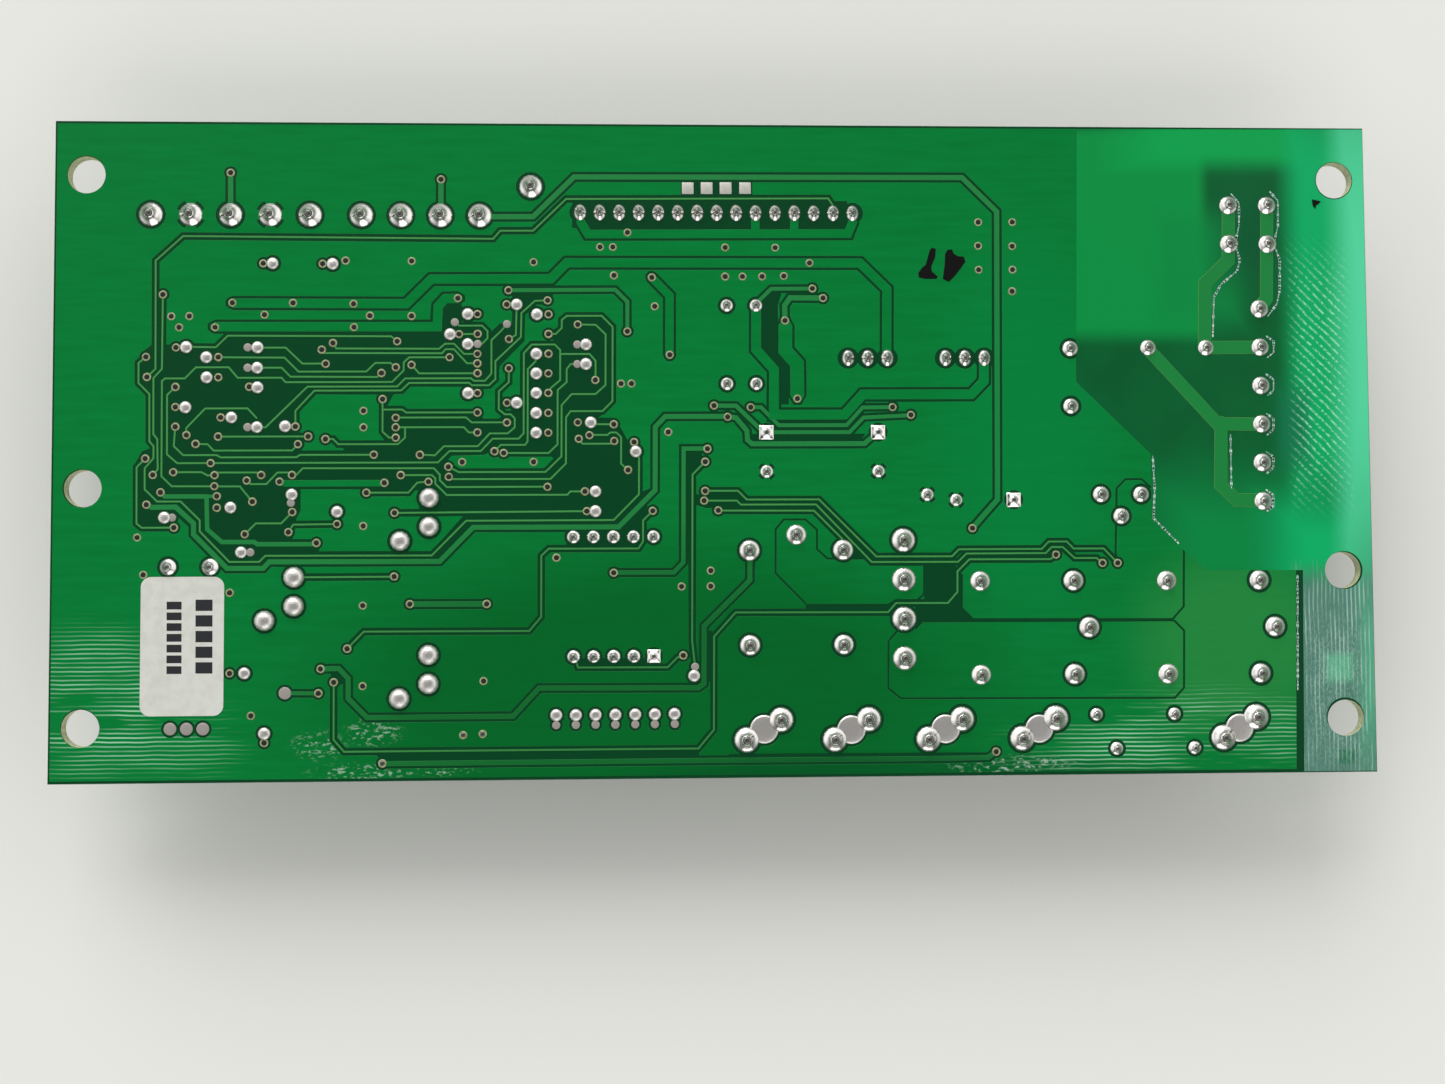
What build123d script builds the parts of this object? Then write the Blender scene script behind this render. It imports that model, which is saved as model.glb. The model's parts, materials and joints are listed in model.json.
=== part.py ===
from build123d import *
import os

# Control board of a garage door opener. It lies with its parts underneath and its
# solder side up. Millimetres. The origin is on the surface that it lies on, under the
# middle of the board, with X along the board and Y across it.

# Board
BOARD_LENGTH = 171.0
BOARD_WIDTH = 85.0
BOARD_THICKNESS = 1.6
MOUNT_HOLE_D = 4.8
MOUNT_EDGE_X = 4.0
MOUNT_EDGE_Y = 7.0
PIN_CLEARANCE = 0.15
LABEL_LENGTH = 17.7
LABEL_WIDTH = 10.5
LABEL_GAP = 0.15
LABEL_CORNER = 1.3
LABEL_THICKNESS = 0.1

# Signal terminals along the far edge, with their wire entries towards it
TERMINAL_PITCH = 5.08
FIVE_WAYS = 5
FOUR_WAYS = 4
TERMINAL_HEIGHT = 15.5
TERMINAL_FRONT = 7.6
TERMINAL_BACK = 3.6
TERMINAL_BEVEL = 2.6
TERMINAL_BEVEL_RISE = 4.2
TERMINAL_GAP = 1.5
TERMINAL_PIN = 1.0
ENTRY_SIZE = 3.4
ENTRY_DEPTH = 6.4
ENTRY_DROP = 6.6
SCREW_WELL_D = 4.0
SCREW_WELL_DEPTH = 3.6
SCREW_HEAD_D = 3.6
SCREW_HEAD_HEIGHT = 1.8
SCREW_OFFSET = 0.4
CLAMP_WIDTH = 3.0
CLAMP_THICKNESS = 1.0

# Mains terminal and mains inlet at the right edge
MAINS_PITCH = 5.08
MAINS_WAYS = 6
MAINS_HEIGHT = 15.5
MAINS_FRONT = 9.6
MAINS_BACK = 3.8
MAINS_PIN = 1.0
INLET_WIDTH = 10.0
INLET_LENGTH = 14.6
INLET_HEIGHT = 14.0
INLET_SHIFT_X = 0.8
INLET_SHIFT_Y = 0.7
INLET_GAP = 0.65
INLET_PITCH = 5.14
INLET_SOCKET_SIZE = 3.6
INLET_SOCKET_DEPTH = 9.0
INLET_BLADE_WIDTH = 2.4
INLET_BLADE_THICKNESS = 0.8
INLET_BLADE_LENGTH = 7.0

# Aerial post and receiver socket strip
AERIAL_GAP = 4.05
AERIAL_POST_D = 2.4
AERIAL_POST_LENGTH = 9.0
AERIAL_COLLAR_D = 4.2
AERIAL_COLLAR_HEIGHT = 1.5
SOCKET_GAP = 6.4
SOCKET_PITCH = 2.54
SOCKET_WAYS = 15
SOCKET_WIDTH = 2.5
SOCKET_HEIGHT = 8.5
SOCKET_MOUTH = 1.0
SOCKET_MOUTH_DEPTH = 6.0
SOCKET_PIN = 0.6

# Relays
RELAY_LENGTH = 19.0
RELAY_WIDTH = 15.5
RELAY_HEIGHT = 15.5
RELAY_EDGE = 0.8
RELAY_RIM = 0.5
RELAY_END_MARGIN = 1.9
RELAY_COIL_REACH = 2.0
RELAY_CONTACT_REACH = 14.25
RELAY_PIN_SPREAD = 12.15
RELAY_PIN = 0.9

# Bridge rectifier and spade tabs of the motor supply
BRIDGE_LENGTH = 19.2
BRIDGE_THICKNESS = 6.0
BRIDGE_HEIGHT = 14.0
BRIDGE_CORNER = 3.0
BRIDGE_STAND_OFF = 1.2
BRIDGE_PITCH = 5.1
BRIDGE_PIN = 1.1
TAB_WIDTH = 6.3
TAB_LENGTH = 10.5
TAB_THICKNESS = 0.8
TAB_TIP = 1.4
TAB_LEG_SPACING = 5.1
TAB_LEG_WIDTH = 1.1
TAB_SLANT = 30.0

# Seven-segment display
DISPLAY_WIDTH = 12.6
DISPLAY_LENGTH = 19.0
DISPLAY_HEIGHT = 8.0
DISPLAY_PITCH = 2.58
DISPLAY_ROW_SPACING = 15.4
DISPLAY_PIN = 0.5
SEGMENT_LENGTH = 6.4
SEGMENT_WIDTH = 1.4
SEGMENT_GAP = 0.3
SEGMENT_THICKNESS = 0.15
SEGMENT_DOT = 1.5

# Push buttons, with a square plunger that a cover plate keeps in its base
BUTTON_SIZE = 8.5
BUTTON_HEIGHT = 5.0
BUTTON_WELL = 6.4
BUTTON_COVER = 0.4
BUTTON_MOUTH = 4.6
BUTTON_TRAVEL = 0.8
BUTTON_CLEARANCE = 0.2
BUTTON_FLANGE = 1.2
BUTTON_STEM_OUT = 3.6
BUTTON_PIN = 0.8
BUTTON_PIN_RISE = 3.7
BUTTON_PIN_OUT = 3.7
BUTTON_PIN_DROP = 1.85

# Voltage regulators lying flat, with the tab against the board
REGULATOR_WIDTH = 10.0
REGULATOR_LENGTH = 15.3
REGULATOR_MOULDING = 9.0
REGULATOR_PLATE = 1.3
REGULATOR_MOULDING_HEIGHT = 3.2
REGULATOR_HOLE_D = 3.6
REGULATOR_HOLE_FROM_END = 2.8
REGULATOR_LEAD = 0.7
REGULATOR_LEAD_RUN = 2.0
REGULATOR_LEAD_DROP = 2.4
REGULATOR_PITCH = 2.56
REGULATOR_GAP = 0.5

# Motor transistor, upright on staggered leads
TRANSISTOR_WIDTH = 8.0
TRANSISTOR_THICKNESS = 3.2
TRANSISTOR_HEIGHT = 11.0
TRANSISTOR_BEVEL = 0.8
TRANSISTOR_STAND_OFF = 2.6
TRANSISTOR_LEAD = 0.8
TRANSISTOR_SPREAD = 5.3
TRANSISTOR_STAGGER = 2.85

# Electrolytic capacitors
CAPACITOR_D = 10.0
CAPACITOR_HEIGHT = 12.5
CAPACITOR_PITCH = 5.1
RESERVOIR_D = 16.0
RESERVOIR_HEIGHT = 15.0
RESERVOIR_PITCH = 7.55
RESERVOIR_GAP = 0.9
CAPACITOR_LEAD = 0.7
CAN_RIM = 0.6

# Film, disc and axial parts
FILM_LENGTH = 10.3
FILM_THICKNESS = 4.0
FILM_HEIGHT = 9.0
FILM_PITCH = 7.6
VARISTOR_D = 12.0
VARISTOR_THICKNESS = 4.4
VARISTOR_PITCH = 7.7
VARISTOR_GAP = 1.3
DISC_D = 8.0
DISC_THICKNESS = 3.2
DISC_PITCH = 5.3
DISC_STAND_OFF = 1.2
SMALL_LEAD = 0.7
AXIAL_PITCH = 10.25
AXIAL_LEAD = 0.7
AXIAL_GAP = 0.3
DIODE_D = 3.0
DIODE_LENGTH = 6.2
RESISTOR_D = 2.5
RESISTOR_LENGTH = 6.5

# Surface-mounted parts
CONTROLLER_SIZE = 7.0
CONTROLLER_HEIGHT = 1.6
CONTROLLER_PITCH = 0.8
CONTROLLER_LEAD_COUNT = 8
DRIVER_WIDTH = 3.9
DRIVER_HEIGHT = 1.6
DRIVER_PITCH = 1.27
DRIVER_PAIRS = 8
FOOT_LENGTH = 1.0
FOOT_WIDTH = 0.4
FOOT_RISE = 0.8
FLAT_LENGTH = 2.0
FLAT_WIDTH = 1.25
FLAT_RESISTOR_HEIGHT = 0.5
FLAT_CAPACITOR_HEIGHT = 1.2
FLAT_PITCH_X = 4.0
FLAT_PITCH_Y = 3.2
FLAT_RESISTOR_COLUMNS = 6
FLAT_CAPACITOR_COLUMNS = 3
FLAT_ROWS = 2

# Solder joints: width over the flats, and height above the board
TERMINAL_SOLDER = 3.2
MAINS_SOLDER = 2.5
RELAY_SOLDER = 2.75
POWER_SOLDER = 3.2
TAB_SOLDER = 2.9
TAB_PAD_D = 4.1
TAB_PAD_HEIGHT = 0.45
BUTTON_SOLDER = 2.7
LARGE_LEAD_SOLDER = 2.2
SMALL_LEAD_SOLDER = 1.75
SQUARE_SOLDER = 1.9
OVAL_SOLDER_WIDTH = 1.65
OVAL_SOLDER_LENGTH = 2.2
HIGH_SOLDER = 1.4
LOW_SOLDER = 0.9
SOLDER_TAPER = 36.0
OCTAGON_CUT_SHARE = 0.2929

# Places on the board, as shares of its length from the left and its width from the front
LEFT_HOLE_SHARE = 0.4414
RIGHT_HOLE_SHARE = 0.3099
LABEL_X_SHARE = 0.0976
TERMINAL_SHARES = (0.1307, 0.8575)
AERIAL_HEIGHT_SHARE = 0.9026
SOCKET_HEIGHT_SHARE = 0.8629
INLET_X_SHARE = 0.9084
MAINS_SHARES = (0.9161, 0.5664)
RELAY_A_SHARES = (0.7799, 0.2243)
RELAY_B_SHARES = (0.9233, 0.2237)
RELAY_C_SHARES = (0.5567, 0.3678)
BRIDGE_SHARES = (0.6383, 0.2688)
TAB_SHARES = [(0.5309, 0.0720), (0.5973, 0.0716), (0.6681, 0.0707), (0.7396, 0.0705), (0.8947, 0.0690)]
DISPLAY_SHARES = (0.4184, 0.2751)
PROGRAM_BUTTON_SHARES = (0.1688, 0.2740)
UP_BUTTON_SHARES = (0.2692, 0.3932)
DOWN_BUTTON_SHARES = (0.2690, 0.1560)
REGULATOR_X_SHARES = [0.6124, 0.6870]
TRANSISTOR_SHARES = (0.8059, 0.4281)
CAPACITOR_SHARES = [(0.5346, 0.4946), (0.6198, 0.4946)]
RESERVOIR_X_SHARE = 0.7011
FILLED_HOLE_SHARES = (0.6569, 0.4284)
FILM_SHARES = (0.7683, 0.6091)
VARISTOR_Y_SHARE = 0.6551
DISC_SHARES = (0.1021, 0.3228)
DIODE_SHARES = [(0.5049, 0.6594), (0.5272, 0.6595)]
RESISTOR_SHARES = [(0.8143, 0.0911), (0.8295, 0.0391)]
CONTROLLER_SHARES = (0.2590, 0.5850)
DRIVER_SHARES = (0.4765, 0.4976)
FLAT_RESISTOR_SHARES = (0.1520, 0.7400)
FLAT_CAPACITOR_SHARES = (0.3450, 0.7350)

# Levels: the part rests on its tallest pieces, and the board lies above them
face = max(RELAY_HEIGHT, TERMINAL_HEIGHT, MAINS_HEIGHT)
top = face + BOARD_THICKNESS
os.makedirs("parts", exist_ok=True)


def save(piece, name):
    """Label a finished piece and write it."""
    piece.part.label = name
    export_step(piece.part, f"parts/{name}.step")


def spot(shares):
    """Point of the board at a share of its length and width."""
    return ((shares[0] - 0.5) * BOARD_LENGTH, (shares[1] - 0.5) * BOARD_WIDTH)


def row_offsets(count, pitch):
    """Even places along a row, about its middle."""
    return [(n - (count - 1) / 2) * pitch for n in range(count)]


def from_plane(plane, places):
    """Board points of places given in a plane's own axes."""
    points = [plane.from_local_coords(Vector(x, y, 0)) for x, y in places]
    return [(point.X, point.Y) for point in points]


def level(shares, x_dir=(1, 0, 0)):
    """Plane on the component face at a place of the board, turned to a direction."""
    x, y = spot(shares)
    return Plane(origin=(x, y, face), x_dir=x_dir, z_dir=(0, 0, 1))


# Rows and planes that several pieces share
half_five = TERMINAL_PITCH * FIVE_WAYS / 2
half_four = TERMINAL_PITCH * FOUR_WAYS / 2
five_x, terminal_y = spot(TERMINAL_SHARES)
four_x = five_x + half_five + TERMINAL_GAP + half_four
aerial_point = (four_x + half_four + AERIAL_GAP, (AERIAL_HEIGHT_SHARE - 0.5) * BOARD_WIDTH)
socket_row = row_offsets(SOCKET_WAYS, SOCKET_PITCH)
socket_x = aerial_point[0] + SOCKET_GAP - socket_row[0]
socket_y = (SOCKET_HEIGHT_SHARE - 0.5) * BOARD_WIDTH
five_plane = Plane(origin=(five_x, terminal_y, face))
four_plane = Plane(origin=(four_x, terminal_y, face))
mains_plane = level(MAINS_SHARES, (0, -1, 0))
mains_end = spot(MAINS_SHARES)[1] + MAINS_PITCH * MAINS_WAYS / 2
inlet_y = mains_end + INLET_GAP + INLET_LENGTH / 2 + INLET_SHIFT_Y
inlet_plane = Plane(origin=((INLET_X_SHARE - 0.5) * BOARD_LENGTH, inlet_y, face))
relay_planes = {
    "relay_a": level(RELAY_A_SHARES, (-1, 0, 0)),
    "relay_b": level(RELAY_B_SHARES, (-1, 0, 0)),
    "relay_c": level(RELAY_C_SHARES, (0, -1, 0)),
}
button_planes = {
    "program_button": level(PROGRAM_BUTTON_SHARES),
    "up_button": level(UP_BUTTON_SHARES),
    "down_button": level(DOWN_BUTTON_SHARES),
}
regulator_y = socket_y - SOCKET_WIDTH / 2 - REGULATOR_GAP - REGULATOR_LENGTH - REGULATOR_LEAD_RUN
varistor_x = spot(MAINS_SHARES)[0] - MAINS_BACK - VARISTOR_GAP - VARISTOR_D / 2
varistor_plane = Plane(origin=(varistor_x, (VARISTOR_Y_SHARE - 0.5) * BOARD_WIDTH, face))
reservoir_y = spot(RELAY_A_SHARES)[1] + RELAY_WIDTH / 2 + RESERVOIR_GAP + RESERVOIR_D / 2
reservoir_x = (RESERVOIR_X_SHARE - 0.5) * BOARD_LENGTH

# Pin places
five_pins = from_plane(five_plane, [(x, 0) for x in row_offsets(FIVE_WAYS, TERMINAL_PITCH)])
four_pins = from_plane(four_plane, [(x, 0) for x in row_offsets(FOUR_WAYS, TERMINAL_PITCH)])
mains_pins = from_plane(mains_plane, [(x, 0) for x in row_offsets(MAINS_WAYS, MAINS_PITCH)])
inlet_places = [(x, y) for x in row_offsets(2, INLET_PITCH) for y in row_offsets(2, INLET_PITCH)]
inlet_pins = from_plane(inlet_plane, inlet_places)
socket_pins = [(socket_x + x, socket_y) for x in socket_row]
relay_places = [(0, 0)]
for reach in (RELAY_COIL_REACH, RELAY_CONTACT_REACH):
    relay_places += [(reach, -RELAY_PIN_SPREAD / 2), (reach, RELAY_PIN_SPREAD / 2)]
relay_pins = [point for plane in relay_planes.values() for point in from_plane(plane, relay_places)]
bridge_pins = from_plane(level(BRIDGE_SHARES), [(0, y) for y in row_offsets(4, BRIDGE_PITCH)])
tab_direction = Vector(1, 0, 0).rotate(Axis.Z, TAB_SLANT)
tab_legs = []
for shares in TAB_SHARES:
    tab_legs += from_plane(level(shares, tab_direction), [(x, 0) for x in row_offsets(2, TAB_LEG_SPACING)])
display_rows = row_offsets(2, DISPLAY_ROW_SPACING)
display_columns = row_offsets(5, DISPLAY_PITCH)
display_places = [(x, y) for y in display_rows for x in display_columns]
display_pins = from_plane(level(DISPLAY_SHARES), display_places)
button_half_rise = (BUTTON_PIN_RISE + BUTTON_PIN_DROP) / 2
button_places = [
    (BUTTON_PIN_OUT / 2, button_half_rise),
    (BUTTON_PIN_OUT / 2, button_half_rise - BUTTON_PIN_RISE),
    (-BUTTON_PIN_OUT / 2, -button_half_rise),
]
button_pins = [point for plane in button_planes.values() for point in from_plane(plane, button_places)]
regulator_pins = [
    ((share - 0.5) * BOARD_LENGTH + x, regulator_y)
    for share in REGULATOR_X_SHARES
    for x in row_offsets(3, REGULATOR_PITCH)
]
transistor_places = [(-TRANSISTOR_SPREAD / 2, 0), (0, -TRANSISTOR_STAGGER), (TRANSISTOR_SPREAD / 2, 0)]
transistor_pins = from_plane(level(TRANSISTOR_SHARES), transistor_places)
capacitor_plus = []
capacitor_minus = []
for shares in CAPACITOR_SHARES:
    capacitor_plus += from_plane(level(shares), [(0, CAPACITOR_PITCH / 2)])
    capacitor_minus += from_plane(level(shares), [(0, -CAPACITOR_PITCH / 2)])
capacitor_plus.append((reservoir_x + RESERVOIR_PITCH / 2, reservoir_y))
capacitor_minus.append((reservoir_x - RESERVOIR_PITCH / 2, reservoir_y))
film_pins = from_plane(level(FILM_SHARES), [(0, y) for y in row_offsets(2, FILM_PITCH)])
varistor_pins = from_plane(varistor_plane, [(x, 0) for x in row_offsets(2, VARISTOR_PITCH)])
disc_pins = from_plane(level(DISC_SHARES), [(x, 0) for x in row_offsets(2, DISC_PITCH)])
diode_pins = []
for shares in DIODE_SHARES:
    diode_pins += from_plane(level(shares), [(0, y) for y in row_offsets(2, AXIAL_PITCH)])
resistor_pins = []
for shares in RESISTOR_SHARES:
    resistor_pins += from_plane(level(shares), [(x, 0) for x in row_offsets(2, AXIAL_PITCH)])

# Board, with its mounting holes and a hole for each pin
corner_x = BOARD_LENGTH / 2 - MOUNT_EDGE_X
corner_y = BOARD_WIDTH / 2 - MOUNT_EDGE_Y
mount_points = [(x, y) for x in (-corner_x, corner_x) for y in (-corner_y, corner_y)]
mount_points.append((-corner_x, (LEFT_HOLE_SHARE - 0.5) * BOARD_WIDTH))
mount_points.append((corner_x, (RIGHT_HOLE_SHARE - 0.5) * BOARD_WIDTH))
pin_families = [
    (five_pins + four_pins + [aerial_point], TERMINAL_PIN),
    (mains_pins + inlet_pins, MAINS_PIN),
    (socket_pins, SOCKET_PIN),
    (relay_pins, RELAY_PIN),
    (bridge_pins, BRIDGE_PIN),
    (display_pins, DISPLAY_PIN),
    (button_pins, BUTTON_PIN),
    (regulator_pins, REGULATOR_LEAD),
    (transistor_pins, TRANSISTOR_LEAD),
    (capacitor_plus + capacitor_minus, CAPACITOR_LEAD),
    (film_pins + varistor_pins + disc_pins, SMALL_LEAD),
    (diode_pins + resistor_pins, AXIAL_LEAD),
]
with BuildPart() as board:
    with BuildSketch(Plane.XY.offset(face)):
        Rectangle(BOARD_LENGTH, BOARD_WIDTH)
        with Locations(*mount_points):
            Circle(MOUNT_HOLE_D / 2, mode=Mode.SUBTRACT)
        for points, pin in pin_families:
            with Locations(*points):
                Rectangle(pin + 2 * PIN_CLEARANCE, pin + 2 * PIN_CLEARANCE, mode=Mode.SUBTRACT)
        with Locations(*tab_legs):
            Rectangle(
                TAB_LEG_WIDTH + 2 * PIN_CLEARANCE,
                TAB_THICKNESS + 2 * PIN_CLEARANCE,
                rotation=TAB_SLANT,
                mode=Mode.SUBTRACT,
            )
    extrude(amount=BOARD_THICKNESS)
save(board, "board")

label_y = spot(DISC_SHARES)[1] - LARGE_LEAD_SOLDER / 2 - LABEL_GAP - LABEL_LENGTH / 2
with BuildPart() as label:
    with BuildSketch(Plane.XY.offset(top)):
        with Locations(((LABEL_X_SHARE - 0.5) * BOARD_LENGTH, label_y)):
            RectangleRounded(LABEL_WIDTH, LABEL_LENGTH, LABEL_CORNER)
    extrude(amount=LABEL_THICKNESS)
save(label, "label")


def posts(families, start):
    """Square pins from a level up to the solder face."""
    with BuildPart() as group:
        with BuildSketch(Plane.XY.offset(start)):
            for points, size in families:
                with Locations(*points):
                    Rectangle(size, size)
        extrude(amount=top - start)
    return group


save(posts([(five_pins + four_pins, TERMINAL_PIN), (mains_pins, MAINS_PIN)], face), "terminal_pins")
save(posts([(socket_pins, SOCKET_PIN)], face), "receiver_socket_pins")
save(posts([(relay_pins, RELAY_PIN)], face), "relay_pins")
save(posts([(bridge_pins, BRIDGE_PIN)], face - BRIDGE_STAND_OFF), "bridge_rectifier_leads")
save(posts([(display_pins, DISPLAY_PIN)], face), "display_pins")
save(posts([(button_pins, BUTTON_PIN)], face), "button_pins")
can_pins = capacitor_plus + capacitor_minus
save(posts([(can_pins, CAPACITOR_LEAD), (film_pins, SMALL_LEAD)], face), "capacitor_leads")
save(posts([(varistor_pins + disc_pins, SMALL_LEAD)], face - DISC_STAND_OFF), "disc_leads")


def terminal(row, ways, pitch, height, front, back):
    """Screw terminal housing: a bevelled bar with wire entries and screw wells."""
    length = ways * pitch
    places = row_offsets(ways, pitch)
    side = Plane(origin=row.from_local_coords(Vector(-length / 2, 0, 0)), x_dir=row.y_dir, z_dir=row.x_dir)
    mouth = Plane(origin=row.from_local_coords(Vector(0, front, 0)), x_dir=row.x_dir, z_dir=row.y_dir)
    with BuildPart() as housing:
        with BuildSketch(side):
            Polygon(
                (-back, 0),
                (front, 0),
                (front, TERMINAL_BEVEL_RISE - height),
                (front - TERMINAL_BEVEL, -height),
                (-back, -height),
                align=None,
            )
        extrude(amount=length)
        with BuildSketch(mouth):
            with Locations(*[(x, ENTRY_DROP) for x in places]):
                Rectangle(ENTRY_SIZE, ENTRY_SIZE)
        extrude(amount=-ENTRY_DEPTH, mode=Mode.SUBTRACT)
        with BuildSketch(row.offset(-height)):
            with Locations(*[(x, SCREW_OFFSET) for x in places]):
                RegularPolygon(SCREW_WELL_D / 2, 8)
        extrude(amount=SCREW_WELL_DEPTH, mode=Mode.SUBTRACT)
    return housing


def screws(rows):
    """Screw heads on the floors of the screw wells."""
    with BuildPart() as group:
        for row, ways, pitch, height in rows:
            places = [(x, SCREW_OFFSET) for x in row_offsets(ways, pitch)]
            with BuildSketch(row.offset(SCREW_WELL_DEPTH - height)):
                with Locations(*places):
                    RegularPolygon(SCREW_HEAD_D / 2, 8)
            extrude(amount=-SCREW_HEAD_HEIGHT)
    return group


def clamps(rows):
    """Clamp plates at the inner ends of the wire entries."""
    with BuildPart() as group:
        for row, ways, pitch, front in rows:
            inner = row.from_local_coords(Vector(0, front - ENTRY_DEPTH, 0))
            with BuildSketch(Plane(origin=inner, x_dir=row.x_dir, z_dir=row.y_dir)):
                with Locations(*[(x, ENTRY_DROP) for x in row_offsets(ways, pitch)]):
                    Rectangle(CLAMP_WIDTH, CLAMP_WIDTH)
            extrude(amount=CLAMP_THICKNESS)
    return group


terminal_size = (TERMINAL_PITCH, TERMINAL_HEIGHT, TERMINAL_FRONT, TERMINAL_BACK)
save(terminal(five_plane, FIVE_WAYS, *terminal_size), "terminal_five_housing")
save(terminal(four_plane, FOUR_WAYS, *terminal_size), "terminal_four_housing")
mains_size = (MAINS_PITCH, MAINS_HEIGHT, MAINS_FRONT, MAINS_BACK)
save(terminal(mains_plane, MAINS_WAYS, *mains_size), "mains_terminal_housing")
five_screws = (five_plane, FIVE_WAYS, TERMINAL_PITCH, TERMINAL_HEIGHT)
four_screws = (four_plane, FOUR_WAYS, TERMINAL_PITCH, TERMINAL_HEIGHT)
mains_screws = (mains_plane, MAINS_WAYS, MAINS_PITCH, MAINS_HEIGHT)
save(screws([five_screws, four_screws, mains_screws]), "terminal_screws")
five_clamps = (five_plane, FIVE_WAYS, TERMINAL_PITCH, TERMINAL_FRONT)
four_clamps = (four_plane, FOUR_WAYS, TERMINAL_PITCH, TERMINAL_FRONT)
mains_clamps = (mains_plane, MAINS_WAYS, MAINS_PITCH, MAINS_FRONT)
save(clamps([five_clamps, four_clamps, mains_clamps]), "terminal_clamps")

# Mains inlet: two deep sockets over each pair of pins, with a contact blade in each
inlet_columns = [(x, 0) for x in row_offsets(2, INLET_PITCH)]
with BuildPart() as mains_inlet_housing:
    with BuildSketch(inlet_plane):
        with Locations((-INLET_SHIFT_X, -INLET_SHIFT_Y)):
            Rectangle(INLET_WIDTH, INLET_LENGTH)
    extrude(amount=-INLET_HEIGHT)
    with BuildSketch(inlet_plane.offset(-INLET_HEIGHT)):
        with Locations(*inlet_columns):
            Rectangle(INLET_SOCKET_SIZE, INLET_SOCKET_SIZE)
    extrude(amount=INLET_SOCKET_DEPTH, mode=Mode.SUBTRACT)
save(mains_inlet_housing, "mains_inlet_housing")

with BuildPart() as mains_inlet_contacts:
    with BuildSketch(inlet_plane.offset(INLET_SOCKET_DEPTH - INLET_HEIGHT)):
        with Locations(*inlet_columns):
            Rectangle(INLET_BLADE_WIDTH, INLET_BLADE_THICKNESS)
    extrude(amount=-INLET_BLADE_LENGTH)
    with BuildSketch(inlet_plane):
        with Locations(*inlet_places):
            Rectangle(MAINS_PIN, MAINS_PIN)
    extrude(amount=BOARD_THICKNESS)
save(mains_inlet_contacts, "mains_inlet_contacts")

# Aerial post: an eight-sided pin with a collar that seats on the board
with BuildPart() as aerial_post:
    with BuildSketch(Plane.XY.offset(face)):
        with Locations(aerial_point):
            RegularPolygon(AERIAL_COLLAR_D / 2, 8)
    extrude(amount=-AERIAL_COLLAR_HEIGHT)
    with BuildSketch(Plane.XY.offset(face - AERIAL_COLLAR_HEIGHT)):
        with Locations(aerial_point):
            RegularPolygon(AERIAL_POST_D / 2, 8)
    extrude(amount=-AERIAL_POST_LENGTH)
    with BuildSketch(Plane.XY.offset(face)):
        with Locations(aerial_point):
            Rectangle(TERMINAL_PIN, TERMINAL_PIN)
    extrude(amount=BOARD_THICKNESS)
save(aerial_post, "aerial_post")

with BuildPart() as receiver_socket_housing:
    with BuildSketch(Plane.XY.offset(face)):
        with Locations((socket_x, socket_y)):
            Rectangle(SOCKET_PITCH * SOCKET_WAYS, SOCKET_WIDTH)
    extrude(amount=-SOCKET_HEIGHT)
    with BuildSketch(Plane.XY.offset(face - SOCKET_HEIGHT)):
        with Locations(*socket_pins):
            Rectangle(SOCKET_MOUTH, SOCKET_MOUTH)
    extrude(amount=SOCKET_MOUTH_DEPTH, mode=Mode.SUBTRACT)
save(receiver_socket_housing, "receiver_socket_housing")

# Relays: sealed cases that carry the part when it lies on its component side
for name, plane in relay_planes.items():
    with BuildPart() as relay_case:
        with BuildSketch(plane):
            with Locations((RELAY_LENGTH / 2 - RELAY_END_MARGIN, 0)):
                Rectangle(RELAY_LENGTH, RELAY_WIDTH)
        extrude(amount=-RELAY_HEIGHT)
        chamfer(relay_case.edges().filter_by(Axis.Z), RELAY_EDGE)
        chamfer(relay_case.faces().sort_by(Axis.Z)[0].edges(), RELAY_RIM)
    save(relay_case, name + "_case")

# Bridge rectifier: a flat moulded block on edge, with one corner cut to mark the plus lead
bridge_plane = level(BRIDGE_SHARES)
bridge_side = Plane(origin=bridge_plane.origin, x_dir=(0, 1, 0), z_dir=(1, 0, 0))
with BuildPart() as bridge_rectifier:
    with BuildSketch(bridge_side) as bridge_outline:
        with Locations((0, -BRIDGE_STAND_OFF - BRIDGE_HEIGHT / 2)):
            Rectangle(BRIDGE_LENGTH, BRIDGE_HEIGHT)
        chamfer(bridge_outline.vertices().group_by(Axis.Z)[0].sort_by(Axis.Y)[-1], BRIDGE_CORNER)
    extrude(amount=BRIDGE_THICKNESS / 2, both=True)
save(bridge_rectifier, "bridge_rectifier_body")

# Spade tabs: flat blades on two legs, set at a slant
with BuildPart() as spade_tabs:
    for shares in TAB_SHARES:
        foot = level(shares, tab_direction)
        with BuildSketch(Plane(origin=foot.origin, x_dir=foot.x_dir, z_dir=-foot.y_dir)) as blade:
            with Locations((0, -TAB_LENGTH / 2)):
                Rectangle(TAB_WIDTH, TAB_LENGTH)
            chamfer(blade.vertices().group_by(Axis.Z)[0], TAB_TIP)
            leg_middle = (BOARD_THICKNESS - TAB_LEG_WIDTH) / 2
            with Locations(*[(x, leg_middle) for x in row_offsets(2, TAB_LEG_SPACING)]):
                Rectangle(TAB_LEG_WIDTH, BOARD_THICKNESS + TAB_LEG_WIDTH)
        extrude(amount=TAB_THICKNESS / 2, both=True)
save(spade_tabs, "spade_tabs")

# Seven-segment display: a block with the segments and the point on its outer face
display_plane = level(DISPLAY_SHARES)
with BuildPart() as display_housing:
    with BuildSketch(display_plane):
        Rectangle(DISPLAY_WIDTH, DISPLAY_LENGTH)
    extrude(amount=-DISPLAY_HEIGHT)
save(display_housing, "display_housing")

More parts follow.
